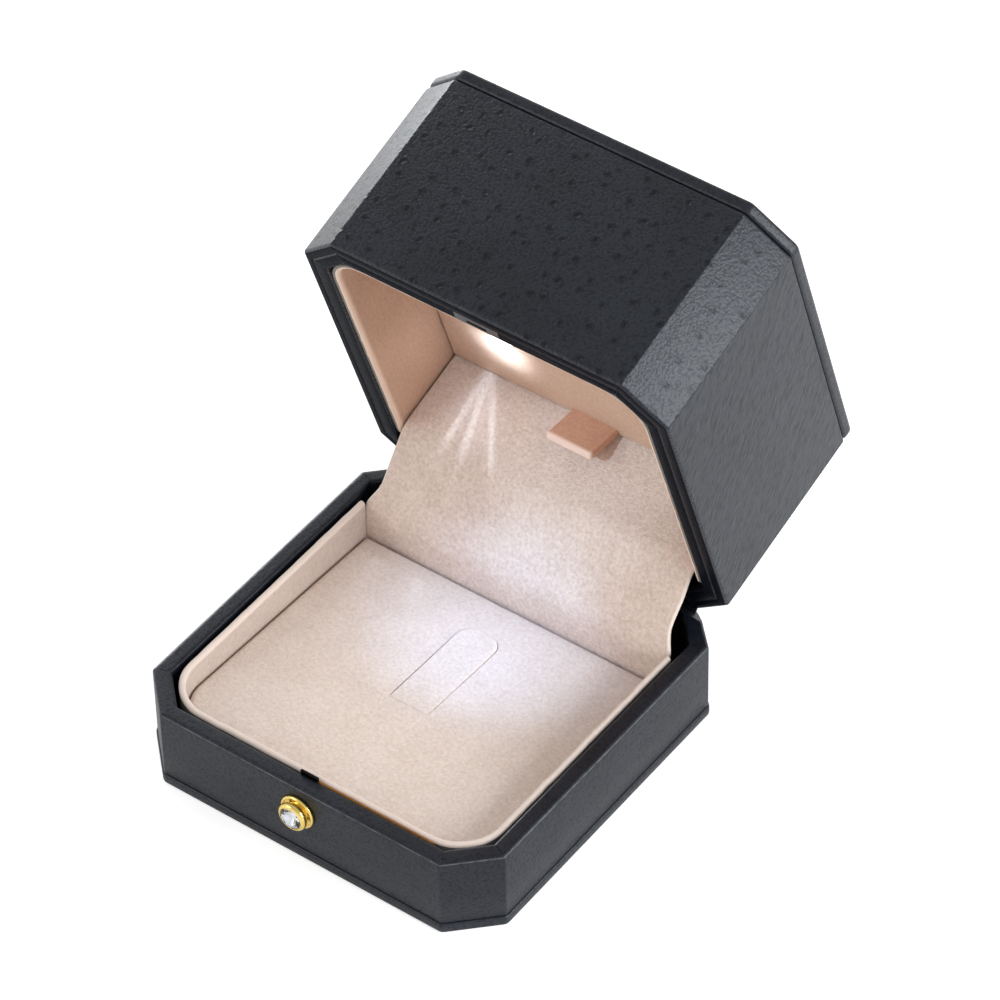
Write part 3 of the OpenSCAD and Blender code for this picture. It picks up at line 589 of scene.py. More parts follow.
def loft(name, rings, closed, finish, edgeHighlight=None):
    verts = [p for ring in rings for p in ring]
    marks = {}
    if edgeHighlight is not None:
        # the marked ring carries the painted edge highlight
        marks["paintedEdgeHighlight"] = [1.0 if i == edgeHighlight else 0.0 for i in range(len(rings)) for _ in rings[0]]
    return newPiece(name, verts, tubeFaces(len(rings[0]), len(rings), closed), finish, marks)


def wallRings(profile):  # profile: (inset, z, dip of the mitred corner)
    return [octagonRing(a, z, max(shell["cornerRound"] - a, shell["leastRound"]), dip=dip)
            for a, z, dip in profile]


def level(points):
    return [(a, z, 0) for a, z in points]


def bevelCutter(above):  # cuts the slanted back edge, above the base's or below the lid's
    side = 1 if above else -1
    slope = Matrix.Translation(pin * mm) @ Matrix.Rotation(-side * openAngle / 2, 4, "X")
    half, reach, gap = shell["bevelHalf"], shell["bevelReach"], shell["bevelGap"]
    low, high = (-gap, reach) if above else (-reach, gap)
    return blockCutter((-half, -reach, low), (half, reach, high), slope)


base = {"wall": 3.0, "foot": 0.35, "footShare": 0.3, "sideRing": 8, "innerRing": 9, "rimIn": 0.4,
        "highlightRing": 6, "notch": 1.05, "notchEnd": 0.4, "pocketFrom": 30.5, "pocketUp": 3, "buttonHole": 2.4}
baseLow, baseHigh = baseBox("base_cover")
plateLow, plateHigh = baseBox("bottom_cover")
buttonZ = (baseBox("button_ring")[0].z + baseBox("button_ring")[1].z) / 2


def buildBaseLeather():
    edge, inner, wall, foot = shell["edge"], shell["innerEdge"], base["wall"], base["foot"]
    top, bottom, dip, tuck = baseHigh.z, plateHigh.z, shell["mitreDip"], foot * base["footShare"]
    profile = level([(foot, bottom), (tuck, bottom + tuck), (0, bottom + foot), (0, base["sideRing"])])
    profile += level(arc(edge, top - edge, edge, 180, 90, 6))
    profile += [(shell["rimFlat"], top, -dip), (wall - inner - base["rimIn"], top, -dip)]
    profile += level(arc(wall - inner, top - inner, inner, 90, 0, 4))
    profile += level([(wall, base["innerRing"]), (wall, bottom)])
    # a ring on the rim's outer rounding gets the painted edge highlight
    piece = loft("baseLeather", wallRings(profile), True, "baseLeather", edgeHighlight=base["highlightRing"])

    low, high = baseBox("hinge_base_leaf", "hinge_lid_leaf")
    left, right, notch = low.x - base["notchEnd"], high.x + base["notchEnd"], base["notch"]
    barrel = rodCutter((left, pin.y, pin.z), (right, pin.y, pin.z), notch)
    pocket = blockCutter((left, base["pocketFrom"], pin.z - notch), (right, pin.y, pin.z + base["pocketUp"]))
    hole = rodCutter((0, baseLow.y - 2, buttonZ), (0, baseLow.y + wall + 2, buttonZ), base["buttonHole"])
    carve(piece, bevelCutter(True), barrel, pocket, hole)
    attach(piece, "base")
    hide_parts("base_cover")


plates = {
    "bottom": {"upper": 0.45, "lower": 0.6, "corner": 1.2, "lip": 0.25},
    "top": {"upper": 0.7, "lower": 0.7, "corner": 2.0, "lip": 0.0},
    "flatInset": 3, "leastCorner": 0.3,
}


def plateRings(z0, z1, upper, lower, corner, lip):
    flat, cap = plates["flatInset"], shell["capInset"]
    profile = [(cap, z0), (flat, z0)]
    profile += [(a - lip, z) for a, z in arc(lower, z0 + lower, lower, 270, 180, 6)]
    profile += [(a - lip, z) for a, z in arc(upper, z1 - upper, upper, 180, 90, 6)]
    profile += [(flat, z1), (cap, z1)]
    return [octagonRing(a, z, max(corner - a, plates["leastCorner"]), steps=8) for a, z in profile]


buildBaseLeather()
bottomRings = plateRings(plateLow.z, plateHigh.z, **plates["bottom"])
bottomPlate = loft("bottomPlateLeather", bottomRings, False, "plateLeather")
settle(bottomPlate)
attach(bottomPlate, "base")
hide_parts("bottom_cover")
print("base leather done")

# the lid's pieces are made shut and turned open by settle
lid = {"wall": 4.4, "foot": 0.6, "roof": 2.0, "sideRing": 34, "innerRing": 30, "fold": 1.95, "foldHalf": 0.14,
       "foldDip": 0.12, "seatGap": 0.02, "slotSide": 2.3, "slotFront": 0.7, "slotBack": 0.2, "slotUp": 0.6}
lidLow, lidHigh = shutBox("lid_cover")
topLow, topHigh = shutBox("top_cover")
roofZ = lidHigh.z - lid["roof"]


def paintLid(piece):  # side, bevel and rim have leathers of their own; the rim's is darker, as painted shade
    for finish in ("sideLeather", "bevelLeather", "shadedRimLeather"):
        piece.data.materials.append(finishes[finish])
    half, corner = shell["width"] / 2, shell["width"] - shell["cutCorner"]
    for face in piece.data.polygons:
        x, y, z = face.center / mm
        facing = face.normal
        if abs(facing.x) > 0.97 and abs(x) > half - 0.1:
            face.material_index = 1
        elif abs(x) + abs(y) > corner - 1.2 and min(abs(facing.x), abs(facing.y)) > 0.5:
            face.material_index = 2
        elif facing.z < -0.9 and z < lidLow.z + 1:
            face.material_index = 3


def buildLidLeather():
    edge, inner, wall, foot = shell["edge"], shell["innerEdge"], lid["wall"], lid["foot"]
    rim, top, dip, cap = lidLow.z, lidHigh.z, shell["mitreDip"], shell["capInset"]
    fold, half = lid["fold"], lid["foldHalf"]
    profile = level([(cap, roofZ), (wall, roofZ), (wall, lid["innerRing"])])
    profile += level(arc(wall - inner, rim + inner, inner, 0, -90, 4))
    profile += [(fold + half, rim, dip), (fold, rim + lid["foldDip"], dip), (fold - half, rim, dip),
                (shell["rimFlat"], rim, dip)]
    profile += level(arc(edge, rim + edge, edge, 270, 180, 6) + [(0, lid["sideRing"])])
    profile += level(arc(foot, top - foot, foot, 180, 90, 5) + [(cap, top)])
    piece = loft("lidLeather", wallRings(profile), False, "lidLeather")

    low, high = shutBox("catch_keeper")
    gap = lid["seatGap"]
    seat = blockCutter((low.x - gap, low.y - gap, rim - 1), (high.x + gap, high.y + gap, high.z + 0.01))
    slot = blockCutter((low.x + lid["slotSide"], low.y + lid["slotFront"], rim - 1),
                       (high.x - lid["slotSide"], high.y - lid["slotBack"], high.z + lid["slotUp"]))
    carve(piece, bevelCutter(False), seat, slot)
    paintLid(piece)
    settle(piece, shutToOpen)
    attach(piece, "lid")
    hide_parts("lid_cover")


buildLidLeather()
topPlate = loft("topPlateLeather", plateRings(topLow.z, topHigh.z, **plates["top"]), False, "plateLeather")
settle(topPlate, shutToOpen)
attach(topPlate, "lid")
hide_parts("top_cover")
print("lid leather done")


def uPath(half, front, back, radius, arcSteps=12, step=1.6):  # points and outward directions, back to back
    run, across = back - front - radius, 2 * (half - radius)
    count, wide = max(2, round(run / step)), max(2, round(across / step))

    def corner(centreX, fromDegrees, first):
        turns = [math.radians(fromDegrees + 90 * i / arcSteps) for i in range(first, arcSteps)]
        away = [(math.cos(t), math.sin(t)) for t in turns]
        return [((centreX + radius * x, front + radius + radius * y), (x, y)) for x, y in away]

    path = [((-half, back - run * i / count), (-1, 0)) for i in range(count)] + corner(radius - half, 180, 0)
    path += [((-half + radius + across * i / wide, front), (0, -1)) for i in range(wide + 1)]
    path += corner(half - radius, 270, 1)
    return path + [((half, back - run * i / count), (1, 0)) for i in range(count, -1, -1)]


cloth = {  # the waves of the stuffing, and where an edge gets its rows
    "wallWave": 0.35, "foldWave": 0.5, "foldLift": 0.8, "foldSeed": 7, "wallShare": 0.3, "padWave": 0.11,
    "calmEdge": 3, "rollRows": (0, 0.1, 0.28, 0.52, 0.8, 1.25, 2.0),
    "cornerRows": (0.006, 0.03, 0.08, 0.16, 0.3),
}


def sweptWall(name, path, profile, finish, wobble, seed):  # profile: (outward, z, share of painted edge highlight, which also sets how far the edge waves)
    verts = []
    a, b, foldSeed = cloth["wallWave"], cloth["foldWave"], seed + cloth["foldSeed"]
    for (x, y), (outX, outY) in path:
        for outward, z, light in profile:
            shift = wobble * noise.noise(Vector((x * a, y * a, z * a + seed)))
            lift = wobble * cloth["foldLift"] * light * noise.noise(Vector((x * b, y * b, foldSeed)))
            out = outward + shift * (cloth["wallShare"] + light)
            verts.append((x + outX * out, y + outY * out, z + lift))
    edgeLight = [light for _ in path for _, _, light in profile]
    return newPiece(name, verts, tubeFaces(len(profile), len(path)), finish, {"paintedEdgeLight": edgeLight})


def cornerRadius(wall, less):  # of a curve drawn inside a wall of this thickness
    return (shell["cutCorner"] - wall * slant) / slant - less


collar = {"wall": 3.7, "thick": 1.1, "foot": 2.2, "lowRing": 8, "highRing": 12, "foldOut": 0.62,
          "backOut": 0.58, "wobble": 0.09, "overhang": 0.04, "seed": 3.0}
collarLow, collarHigh = baseBox("collar_velvet")
padLow, padHigh = baseBox("pad_velvet")


def buildCollar():
    thick, foot, back = collar["thick"], collar["foot"], collar["backOut"]
    innerHalf = collarHigh.x - thick
    top, cardTop = collarHigh.z, baseBox("collar_card")[1].z
    wide = collarHigh.x - innerHalf + collar["overhang"]
    profile = level([(0, z) for z in (foot, collar["lowRing"], collar["highRing"], cardTop - 0.5)])
    # the third number is the share of painted highlight on the collar's fold
    profile.append((0, cardTop - 0.1, 0.35))
    for a, z in arc(wide / 2, cardTop, 1.0, 180, 0, 8):
        profile.append(((a - wide / 2) * wide / 2 + wide / 2, cardTop + (z - cardTop) * (top - cardTop), 1.0))
    profile += [(wide, cardTop - 0.05, 0.8), (collar["foldOut"], cardTop - 0.02, 0.2)]
    profile += [(back, collar["highRing"], 0), (back, foot, 0)]
    path = uPath(innerHalf, collarLow.y + thick, collarHigh.y, cornerRadius(collar["wall"], thick))
    piece = sweptWall("shadedCollarVelvet", path, profile, "shadedCollarVelvet", collar["wobble"], collar["seed"])
    settle(piece, sharp=60)
    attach(piece, "base")
    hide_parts("collar_velvet")


lining = {"wall": 4.5, "less": 1.1, "thick": 0.6, "rings": (42, 30, 22), "fold": 0.5, "foldSteps": 8,
          "wobble": 0.08, "seed": 11.0}


def buildLining():
    low, high = shutBox("lining_velvet")
    half, rim, top, fold, steps = high.x - lining["thick"], low.z, high.z, lining["fold"], lining["foldSteps"]
    wide = shutBox("lining_card")[1].x - half
    # the third number is the share of painted highlight on the lining's fold at the rim
    profile = level([(0, z) for z in (top, *lining["rings"], rim + 1.2)]) + [(0, rim + 0.75, 0.5)]
    for t in (math.radians(180 + 180 * i / steps) for i in range(steps + 1)):
        profile.append((wide / 2 + wide / 2 * math.cos(t), rim + fold + fold * math.sin(t), 1.0))
    profile += [(wide, rim + 0.9, 0.3), (wide, top, 0)]
    path = uPath(half, low.y + lining["thick"], high.y, cornerRadius(lining["wall"], lining["less"]))
    piece = sweptWall("liningVelvet", path, profile, "liningVelvet", lining["wobble"], lining["seed"])
    settle(piece, shutToOpen, sharp=60)
    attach(piece, "lid")
    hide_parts("lining_velvet")


buildCollar()
buildLining()
print("collar and lining done")


def edgeLines(length, roll, step):  # close together where the edge rolls over
    near = [share * roll for share in cloth["rollRows"]]
    middle = length - 2 * near[-1]
    count = max(2, round(middle / step))
    inside = [near[-1] + middle * i / count for i in range(1, count)]
    return near + inside + [length - n for n in reversed(near)]


def rollDrop(distance, roll):  # how far a rounded edge has dropped at this distance from it
    short = 1 - min(distance, roll) / roll
    return roll * (1 - math.sqrt(max(0.0, 1 - short * short)))


def softSlab(name, half, front, back, radius, thick, roll, finish, place, step=1.0, wave=0.05, crown=0.0,
             seed=0.0):  # a padded panel with two rounded front corners
    columns = [c - half for c in edgeLines(2 * half, roll, step)]
    rows = [front + r for r in edgeLines(back - front, roll, step)]
    rows += [front + radius * share for share in cloth["cornerRows"]]
    rows = sorted(set(round(r, 4) for r in rows))
    wavy = cloth["padWave"]
    top, bottom = [], []
    for y in rows:
        dip = max(0.0, radius - (y - front))
        halfHere = half - radius + math.sqrt(max(radius * radius - dip * dip, 0.0))
        for x0 in columns:
            x = x0 * halfHere / half
            cornerX, cornerY = abs(x) - (half - radius), (front + radius) - y
            if cornerX > 0 and cornerY > 0:
                edge = radius - math.hypot(cornerX, cornerY)
            else:
                edge = min(half - abs(x), y - front)
            edge = max(0.0, min(edge, back - y))
            swell = crown * (1 - (x / half) ** 4) * (1 - (2 * (y - front) / (back - front) - 1) ** 4)
            ripple = wave * noise.noise(Vector((x * wavy, y * wavy, seed))) * min(1, edge / cloth["calmEdge"])
            top.append((x, y, swell + ripple - rollDrop(edge, roll)))
            bottom.append((x, y, -thick))
    return newPiece(name, [place(*p) for p in top + bottom], slabFaces(len(columns), len(rows)), finish)


pad = {"thick": 1.6, "roll": 0.95, "wave": 0.09, "crown": 0.12, "slit": 0.12, "backZ": 8.3, "seed": 5.0}
tongue = {"foldOverlap": 0.5, "roll": 0.3, "wave": 0.03, "step": 0.7, "lift": 0.16, "tip": 0.30,
          "tipRadius": 2.8, "cutFrom": 4, "cutTo": 16, "seed": 9.0}
tongueLow, tongueHigh = baseBox("tongue_velvet")


def padZ(y):
    return pad["backZ"] + (padHigh.z - pad["backZ"]) * (padHigh.y - y) / (padHigh.y - padLow.y)


def tongueCutter(gap):
    radius, half = tongue["tipRadius"] + gap, tongueHigh.x + gap
    y0, y1 = tongueLow.y + tongue["foldOverlap"], tongueHigh.y + gap
    outline = [(-half, y0), (half, y0)] + arc(half - radius, y1 - radius, radius, 0, 90, 10)
    outline += arc(radius - half, y1 - radius, radius, 90, 180, 10)
    verts = [(x, y, z) for z in (tongue["cutFrom"], tongue["cutTo"]) for x, y in outline]
    return newPiece("cutter", verts, tubeFaces(len(outline), 2), "frameBlack")


def buildPad():
    radius = cornerRadius(collar["wall"], collar["thick"])
    piece = softSlab("ringPad", padHigh.x, padLow.y, padHigh.y, radius, pad["thick"], pad["roll"],
                     "padVelvet", lambda x, y, z: (x, y, padZ(y) + z), wave=pad["wave"], crown=pad["crown"],
                     seed=pad["seed"])
    carve(piece, tongueCutter(pad["slit"]))
    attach(piece, "base")
    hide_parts("pad_velvet", "pad_card")


def layTongue(x, y, z):
    forward = tongueLow.y + tongueHigh.y - y  # the slab's rounded end is turned to the back
    along = (forward - tongueLow.y) / (tongueHigh.y - tongueLow.y)
    raised = tongue["lift"] + tongue["tip"] * along * along + pad["crown"]
    return (x, forward, padZ(forward) + z + raised)


def buildTongue():
    piece = softSlab("ringTongue", tongueHigh.x, tongueLow.y, tongueHigh.y, tongue["tipRadius"], pad["thick"],
                     tongue["roll"], "padVelvet", layTongue, step=tongue["step"], wave=tongue["wave"],
                     seed=tongue["seed"])
    settle(piece)
    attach(piece, "tongue")
    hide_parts("tongue_velvet", "tongue_card")


ceiling = {"less": 1.4, "thick": 0.6, "roll": 0.5, "wave": 0.08, "seed": 21.0, "lightHole": 2.7}
ceilingLow, ceilingHigh = shutBox("ceiling_velvet")
lightLow, lightHigh = shutBox("light")
lightX, lightY = (lightLow.x + lightHigh.x) / 2, (lightLow.y + lightHigh.y) / 2


def buildCeiling():
    radius = cornerRadius(lining["wall"], ceiling["less"])
    piece = softSlab("ceilingVelvet", ceilingHigh.x, ceilingLow.y, ceilingHigh.y, radius, ceiling["thick"],
                     ceiling["roll"], "liningVelvet", lambda x, y, z: (x, y, ceilingLow.z - z),
                     wave=ceiling["wave"], seed=ceiling["seed"])
    low, high = ceilingLow.z - 3, ceilingLow.z + 5
    carve(piece, rodCutter((lightX, lightY, low), (lightX, lightY, high), ceiling["lightHole"]))
    settle(piece, shutToOpen)
    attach(piece, "ceiling")
    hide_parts("ceiling_velvet")


tab = {"width": 9.0, "length": 8.0, "thick": 1.5, "splay": 18.0, "edge": 0.42, "curl": 0.35,
       "foldedFrom": 0.5, "stations": (0.6, -0.6, -2, -3.5, -5, -6.2, -7.1), "endTurns": (0, 25, 50, 72, 90)}


def buildTab():
    half, length, e, t = tab["width"] / 2, tab["length"], tab["edge"], tab["thick"]
    section = []
    centres = ((half - e, -e), (e - half, -e), (e - half, e - t), (half - e, e - t))
    for i, (x, y) in enumerate(centres):
        section += arc(x, y, e, 90 * i, 90 * i + 90, 4)
    levels = [(z, 0.0) for z in tab["stations"]]
    levels += [(-length + e * (1 - math.sin(math.radians(a))), e * (1 - math.cos(math.radians(a))))
               for a in tab["endTurns"]]  # the end is rounded over
    turn = Matrix.Rotation(math.radians(-tab["splay"]), 3, "X")
    hang = Vector((0, ceilingHigh.y - 0.2, ceilingLow.z))
    verts = []
    for z, shrink in levels:
        for x, y in section:
            narrowed = -t / 2 + (y + t / 2) * (t / 2 - shrink) / (t / 2)
            curled = narrowed - tab["curl"] * (z / length) ** 2
            verts.append(hang + turn @ Vector((x * (half - shrink) / half, curled, z)))
    # the rounded-over end of the tab gets a painted highlight
    edgeLight = [1.0 if z < -length + tab["foldedFrom"] else 0.0 for z, _ in levels for _ in section]
    piece = newPiece("pullTab", verts, tubeFaces(len(section), len(levels)), "tabVelvet", {"paintedEdgeLight": edgeLight})
    settle(piece, shutToOpen, sharp=60)
    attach(piece, "ceiling")
    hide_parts("pull_tab")


buildPad()
buildTongue()
buildCeiling()
buildTab()
print("pad, tongue, ceiling and tab done")

# one sheet of velvet bent over the hinge, from the base's foam up into the lid
flap = {
    "halfWidth": 29.1, "footHalf": 30.65, "footTop": 14.4, "footRun": 14.6, "taper": 4.0, "thick": 1.0,
    "foot": (22.4, 2.4), "baseBend": (22.4, 14.4), "lidBend": (21.8, 17.1), "bend": 6.0, "bendSteps": 8,
    "step": 0.9, "inside": 51, "edgeRound": 0.45, "edgeRows": (0, 0.12, 0.35, 0.65, 1, 2), "edgeLightShare": 0.7,
    "wavyEdge": 0.35, "wavyReach": 5, "wavyRun": 0.16, "belly": 0.25, "bellyShare": 0.4, "ripple": 0.10,
    "wave": 0.12, "seed": 31.0,
}


def lidPoint(y, z):
    point = shutToOpen @ Vector((0, y * mm, z * mm)) / mm
    return Vector((point.y, point.z))


def straight(start, end):
    steps = max(1, round((end - start).length / flap["step"]))
    return [start + (end - start) * i / steps for i in range(1, steps + 1)]


def flapPath():
    bend, steps = flap["bend"], flap["bendSteps"]
    corners = [Vector(flap["foot"]), Vector(flap["baseBend"]), lidPoint(*flap["lidBend"]),
               lidPoint(flap["lidBend"][0], roofZ)]
    points = [corners[0]]
    for before, here, after in zip(corners, corners[1:], corners[2:]):
        u, v = (before - here).normalized(), (after - here).normalized()
        halfAngle = math.acos(max(-1, min(1, u.dot(v)))) / 2
        middle = here + (u + v).normalized() * bend / math.sin(halfAngle)
        start = here + u * bend / math.tan(halfAngle)
        end = here + v * bend / math.tan(halfAngle)
        points += straight(points[-1], start)[:-1]
        a0 = math.atan2(start.y - middle.y, start.x - middle.x)
        a1 = math.atan2(end.y - middle.y, end.x - middle.x)
        turn = (a1 - a0 + math.pi) % (2 * math.pi) - math.pi
        turns = [a0 + turn * i / steps for i in range(steps + 1)]
        points += [middle + bend * Vector((math.cos(a), math.sin(a))) for a in turns]
    return points + straight(points[-1], corners[-1])


def flapHalf(height):  # wide between the base's walls, narrower in the lid
    narrow = min(1, max(0, (height - flap["footTop"]) / flap["taper"]))
    narrow = narrow * narrow * (3 - 2 * narrow)
    return flap["footHalf"] + (flap["halfWidth"] - flap["footHalf"]) * narrow


def buildFlap():
    path = flapPath()
    lengths = [0.0]
    for a, b in zip(path, path[1:]):
        lengths.append(lengths[-1] + (b - a).length)
    edge, count = flap["edgeRound"], flap["inside"]
    near = [share * edge for share in flap["edgeRows"]]
    verts, edgeLight = [], []
    for front in (True, False):
        for j, point in enumerate(path):
            along = (path[min(j + 1, len(path) - 1)] - path[max(j - 1, 0)]).normalized()
            behind = Vector((along.y, -along.x))
            share = lengths[j] / lengths[-1]
            half = flapHalf(point.y)
            inside = [near[-1] + (2 * half - 2 * near[-1]) * i / count for i in range(1, count)]
            for x in [c - half for c in near + inside + [2 * half - n for n in reversed(near)]]:
                distance = half - abs(x)
                drop = rollDrop(distance, edge)
                offset = drop if front else flap["thick"] - drop
                spot = Vector((x * flap["wave"], lengths[j] * flap["wave"], flap["seed"]))
                ripple = flap["ripple"] * noise.noise(spot) * min(1, distance / cloth["calmEdge"])
                belly = flap["belly"] * math.sin(math.pi * share) * (1 - (x / half) ** 2)
                place = point + behind * (offset + (ripple - belly * flap["bellyShare"]))
                shift = 0.0
                if x > 0:  # only this side's edge is wavy
                    spot = Vector((2.0, lengths[j] * flap["wavyRun"], 4.0))
                    shift = -flap["wavyEdge"] * (0.5 + noise.noise(spot))
                verts.append((x + shift * max(0.0, 1 - distance / flap["wavyReach"]), place.x, place.y))
                # the front's rounded side edges get a painted highlight
                edgeLight.append(1.0 if distance < edge * flap["edgeLightShare"] and front else 0.0)
    faces = slabFaces(2 * len(near) + count - 1, len(path))
    piece = newPiece("backFlap", verts, faces, "flapVelvet", {"paintedEdgeLight": edgeLight})
    settle(piece, sharp=60)
    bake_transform(piece)
    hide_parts("back_flap")
    print("flap sheet is", round(lengths[-1], 1), "mm long")


strip = {"inner": 1.05, "middle": 1.2, "outer": 1.4, "spread": 21.5, "halfWidth": 27.9, "stations": 40,
         "pucker": 0.02}


def buildStrip():  # the leather that covers the hinge's barrel
    half, count = strip["halfWidth"], strip["stations"]
    middle = -math.degrees(openAngle) / 2
    left, right = middle - strip["spread"], middle + strip["spread"]
    section = arc(0, 0, strip["outer"], left, right, 8) + arc(0, 0, strip["inner"], right, left, 8)
    verts = []
    for x in (-half + 2 * half * i / count for i in range(count + 1)):
        for y, z in section:
            pucker = 1 + strip["pucker"] * noise.noise(Vector((x * 0.8, y, z)))
            verts.append((x, pin.y + y * pucker, pin.z + z * pucker))
    piece = newPiece("spineLeather", verts, tubeFaces(len(section), count + 1), "stripLeather")
    settle(piece)
    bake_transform(piece)
    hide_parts("spine_strip")


buildFlap()
buildStrip()
print("flap and hinge leather done")

# radii, and distances out from the box's front face
buttonRing = {"radius": 3.2, "thick": 0.7, "bore": 1.95, "sleeve": 2.38, "lip": 2.84}
buttonCap = {"stem": 1.88, "skirt": 2.56, "bezel": 2.68, "back": 1.45, "front": 2.2, "shoulder": 1.56}
buttonStone = {"radius": 2.0, "middle": 0.80, "table": 1.1, "crown": 0.6, "pavilion": 0.95}


def onFront(x, y, out):
    return (x, baseLow.y - out, buttonZ + y)


def lathe(name, profile, finish, closed=True, sides=64):
    verts = [onFront(x, y, out) for radius, out in profile for x, y in circle(radius, sides)]
    piece = newPiece(name, verts, tubeFaces(sides, len(profile), closed, ends=False), finish)
    settle(piece, sharp=50)
    return piece


def buildRing():
    radius, thick, bore, sleeve, lip = buttonRing.values()
    depth = baseLow.y - baseBox("button_ring")[1].y
    profile = [(bore, depth), (sleeve, depth), (sleeve, -0.02), (radius - 0.2, -0.02)]
    profile += arc(radius - 0.3, 0.28, 0.3, -60, 0, 3) + arc(radius - 0.32, thick - 0.32, 0.32, 0, 90, 6)
    profile += arc(lip, thick - 0.1, 0.1, 90, 150, 3)
    profile += [(2.74, 0.42), (2.72, 0.1), (2.6, 0.04), (bore, 0.02)]
    piece = lathe("buttonRing", profile, "buttonGold")
    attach(piece, "base")
    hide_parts("button_ring")


def buildCap():
    stemEnd, seat = baseLow.y - baseBox("button_cap")[1].y, buttonStone["radius"]
    stem, skirt, bezel, back, front, shoulder = buttonCap.values()
    profile = [(0.0001, stemEnd), (stem - 0.15, stemEnd), (stem, stemEnd + 0.15), (stem, 0.92)]
    profile += arc(skirt - 0.14, 1.06, 0.14, -90, 0, 4) + [(skirt, back - 0.05)]
    profile += arc(bezel - 0.15, 1.5, 0.15, -80, 0, 3)
    wide, high = bezel - seat - 0.12, front - shoulder
    profile += [(bezel - wide * (1 - math.cos(t)), shoulder + high * math.sin(t))
                for t in (math.radians(a) for a in (10, 25, 40, 55, 70, 85, 95))]
    profile += [(seat + 0.06, front - 0.05), (seat + 0.02, front - 0.12), (seat + 0.02, front - 0.4),
                (seat * 0.55, front - 1.0), (0.0001, front - 1.15)]
    piece = lathe("buttonCap", profile, "buttonGold", closed=False)
    piece.data.materials.append(finishes["stoneFoil"])
    for face in piece.data.polygons:  # bright foil in the seat, under the stone
        x, y, z = face.center / mm
        if math.hypot(x, z - buttonZ) < seat and front - 1.2 < baseLow.y - y < front - 0.1:
            face.material_index = 1
    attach(piece, "button")
    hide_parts("button_cap")


def buildStone():
    radius, middle, flat, crown, pavilion = buttonStone.values()
    seat = buttonCap["front"] - 0.02
    rings = [(radius - 0.03, 16, 0, seat - 0.22), (radius - 0.03, 16, 0, seat + 0.02),
             (radius * middle, 8, 0.5, seat + 0.30), (flat, 8, 0, seat + crown)]
    verts = [onFront(x, y, out) for r, sides, shift, out in rings for x, y in circle(r, sides, shift)]
    verts.append(onFront(0, 0, seat - pavilion))
    girdle, star, table, culet = 16, 32, 40, len(verts) - 1
    faces = [(k, (k + 1) % 16, girdle + (k + 1) % 16, girdle + k) for k in range(16)]
    for k in range(8):
        left, mid, right = girdle + 2 * k, girdle + (2 * k + 1) % 16, girdle + (2 * k + 2) % 16
        faces += [(left, mid, star + k), (mid, right, star + k),
                  (left, star + k, table + k, star + (k - 1) % 8), (star + k, table + (k + 1) % 8, table + k),
                  (2 * k, culet, (2 * k + 2) % 16, 2 * k + 1)]
    faces.append(tuple(range(table, table + 8)))
    piece = newPiece("crystalStone", verts, faces, "crystalGlass")
    settle(piece, sharp=4)
    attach(piece, "button")
    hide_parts("crystal")


buildRing()
buildCap()
buildStone()
print("button done")

# the lamps near the lens ride with the lid, the two pools of light stay where they are
glow = {"shift": 2.2, "drop": 1.6, "bloomDrop": 5.5}
lensLamps = {
    "nearLamp": {"kind": "POINT", "power": 0.0010, "size": 0.8, "colour": (0.62, 0.80, 1.0)},
    "bloomLamp": {"kind": "SPOT", "power": 0.0075, "size": 0.8, "colour": (0.62, 0.80, 1.0), "cone": 116},
    "rayLamp": {"kind": "POINT", "power": 0.0064, "size": 0.6, "colour": (0.60, 0.80, 1.0)},
}
poolLamps = {
    "padLamp": {"place": (4, 4, 46), "aim": (1.5, 14, 9.6), "power": 0.045, "cone": 76,
                "colour": (0.34, 0.58, 1.0)},
    "flapLamp": {"place": (-70, -250, 250), "aim": (5, 32, 36), "power": 2.4, "cone": 7.4,
                 "colour": (0.6, 0.82, 1.0)},
}
rays = {"turns": (-122, -110, -93), "width": 2.1, "haze": 0.3, "hazeFrom": 34.0, "hazeFull": 6.0,
        "reach": (0.47, 0.72), "leastSteep": 0.2, "falloff": -2.6, "axis": (0.431, -0.568, 0.701)}


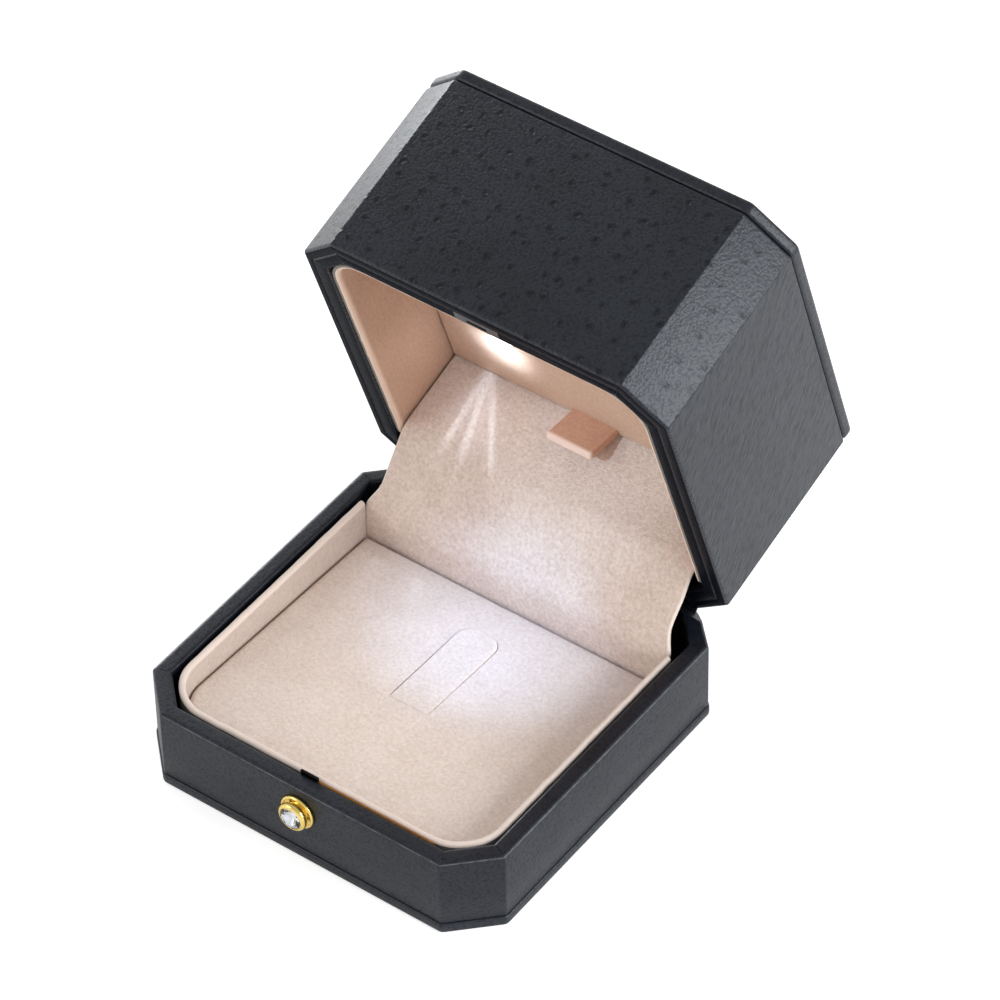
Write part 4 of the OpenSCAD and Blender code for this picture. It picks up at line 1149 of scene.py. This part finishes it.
def addRays(holder, source):  # a few bright planes of light that share one axis, over a faint haze
    axis = Vector(rays["axis"]).normalized()
    across = Vector((0, 0, 1)).cross(axis).normalized()
    turn = Matrix((across, axis.cross(across), axis)).transposed()
    holder.matrix_world = Matrix.Translation(source * mm) @ turn.to_4x4()
    tree = clearTree(holder.data)
    direction = addNode(tree, "TexCoord").outputs["Normal"]
    away = addNode(tree, "SeparateXYZ", {0: direction}).outputs
    around = addMath("DEGREES", addMath("ARCTAN2", away[1], away[0]))

    def offFrom(degrees):
        return addMath("ABSOLUTE", addMath("SUBTRACT", around, degrees))

    middle = sum(rays["turns"]) / len(rays["turns"])
    strength = addSpread(offFrom(middle), 0.0, rays["haze"], rays["hazeFrom"], rays["hazeFull"])
    for degrees in rays["turns"]:
        strength = plus(strength, addSpread(offFrom(degrees), 0.0, 1.0, rays["width"], 0.0, "SMOOTHSTEP"))
    toFlap = turn.transposed() @ (shutToOpen.to_3x3() @ Vector((0, 1, 0)))
    steep = addAfter("VectorMath", {0: direction, 1: toFlap}, operation="DOT_PRODUCT").outputs["Value"]
    short = addSpread(steep, 0.0, 1.0, *rays["reach"], "SMOOTHSTEP")
    even = addMath("POWER", addMath("MAXIMUM", steep, rays["leastSteep"]), rays["falloff"])
    strength = times(strength, times(short, even))
    shine = addNode(tree, "Emission", {"Color": (1, 1, 1, 1), "Strength": strength})
    addNode(tree, "OutputLight", {"Surface": shine.outputs[0]})


def buildGlow():
    source, under = (shutToOpen @ (Vector((lightX, lightY + glow["shift"], lightLow.z - drop)) * mm) / mm
                     for drop in (glow["drop"], glow["bloomDrop"]))
    near = lamp("nearLamp", source, (0, 0, 0), **lensLamps["nearLamp"])
    bloom = lamp("bloomLamp", under, source, **lensLamps["bloomLamp"])
    for name, look in poolLamps.items():
        lamp(name, size=4, kind="SPOT", **look)
    fan = lamp("rayLamp", source, source + Vector((0, 0, -1)), **lensLamps["rayLamp"])
    addRays(fan, source)
    for holder in (near, bloom, fan):
        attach(holder, "lid")


buildGlow()
print("lamps done")
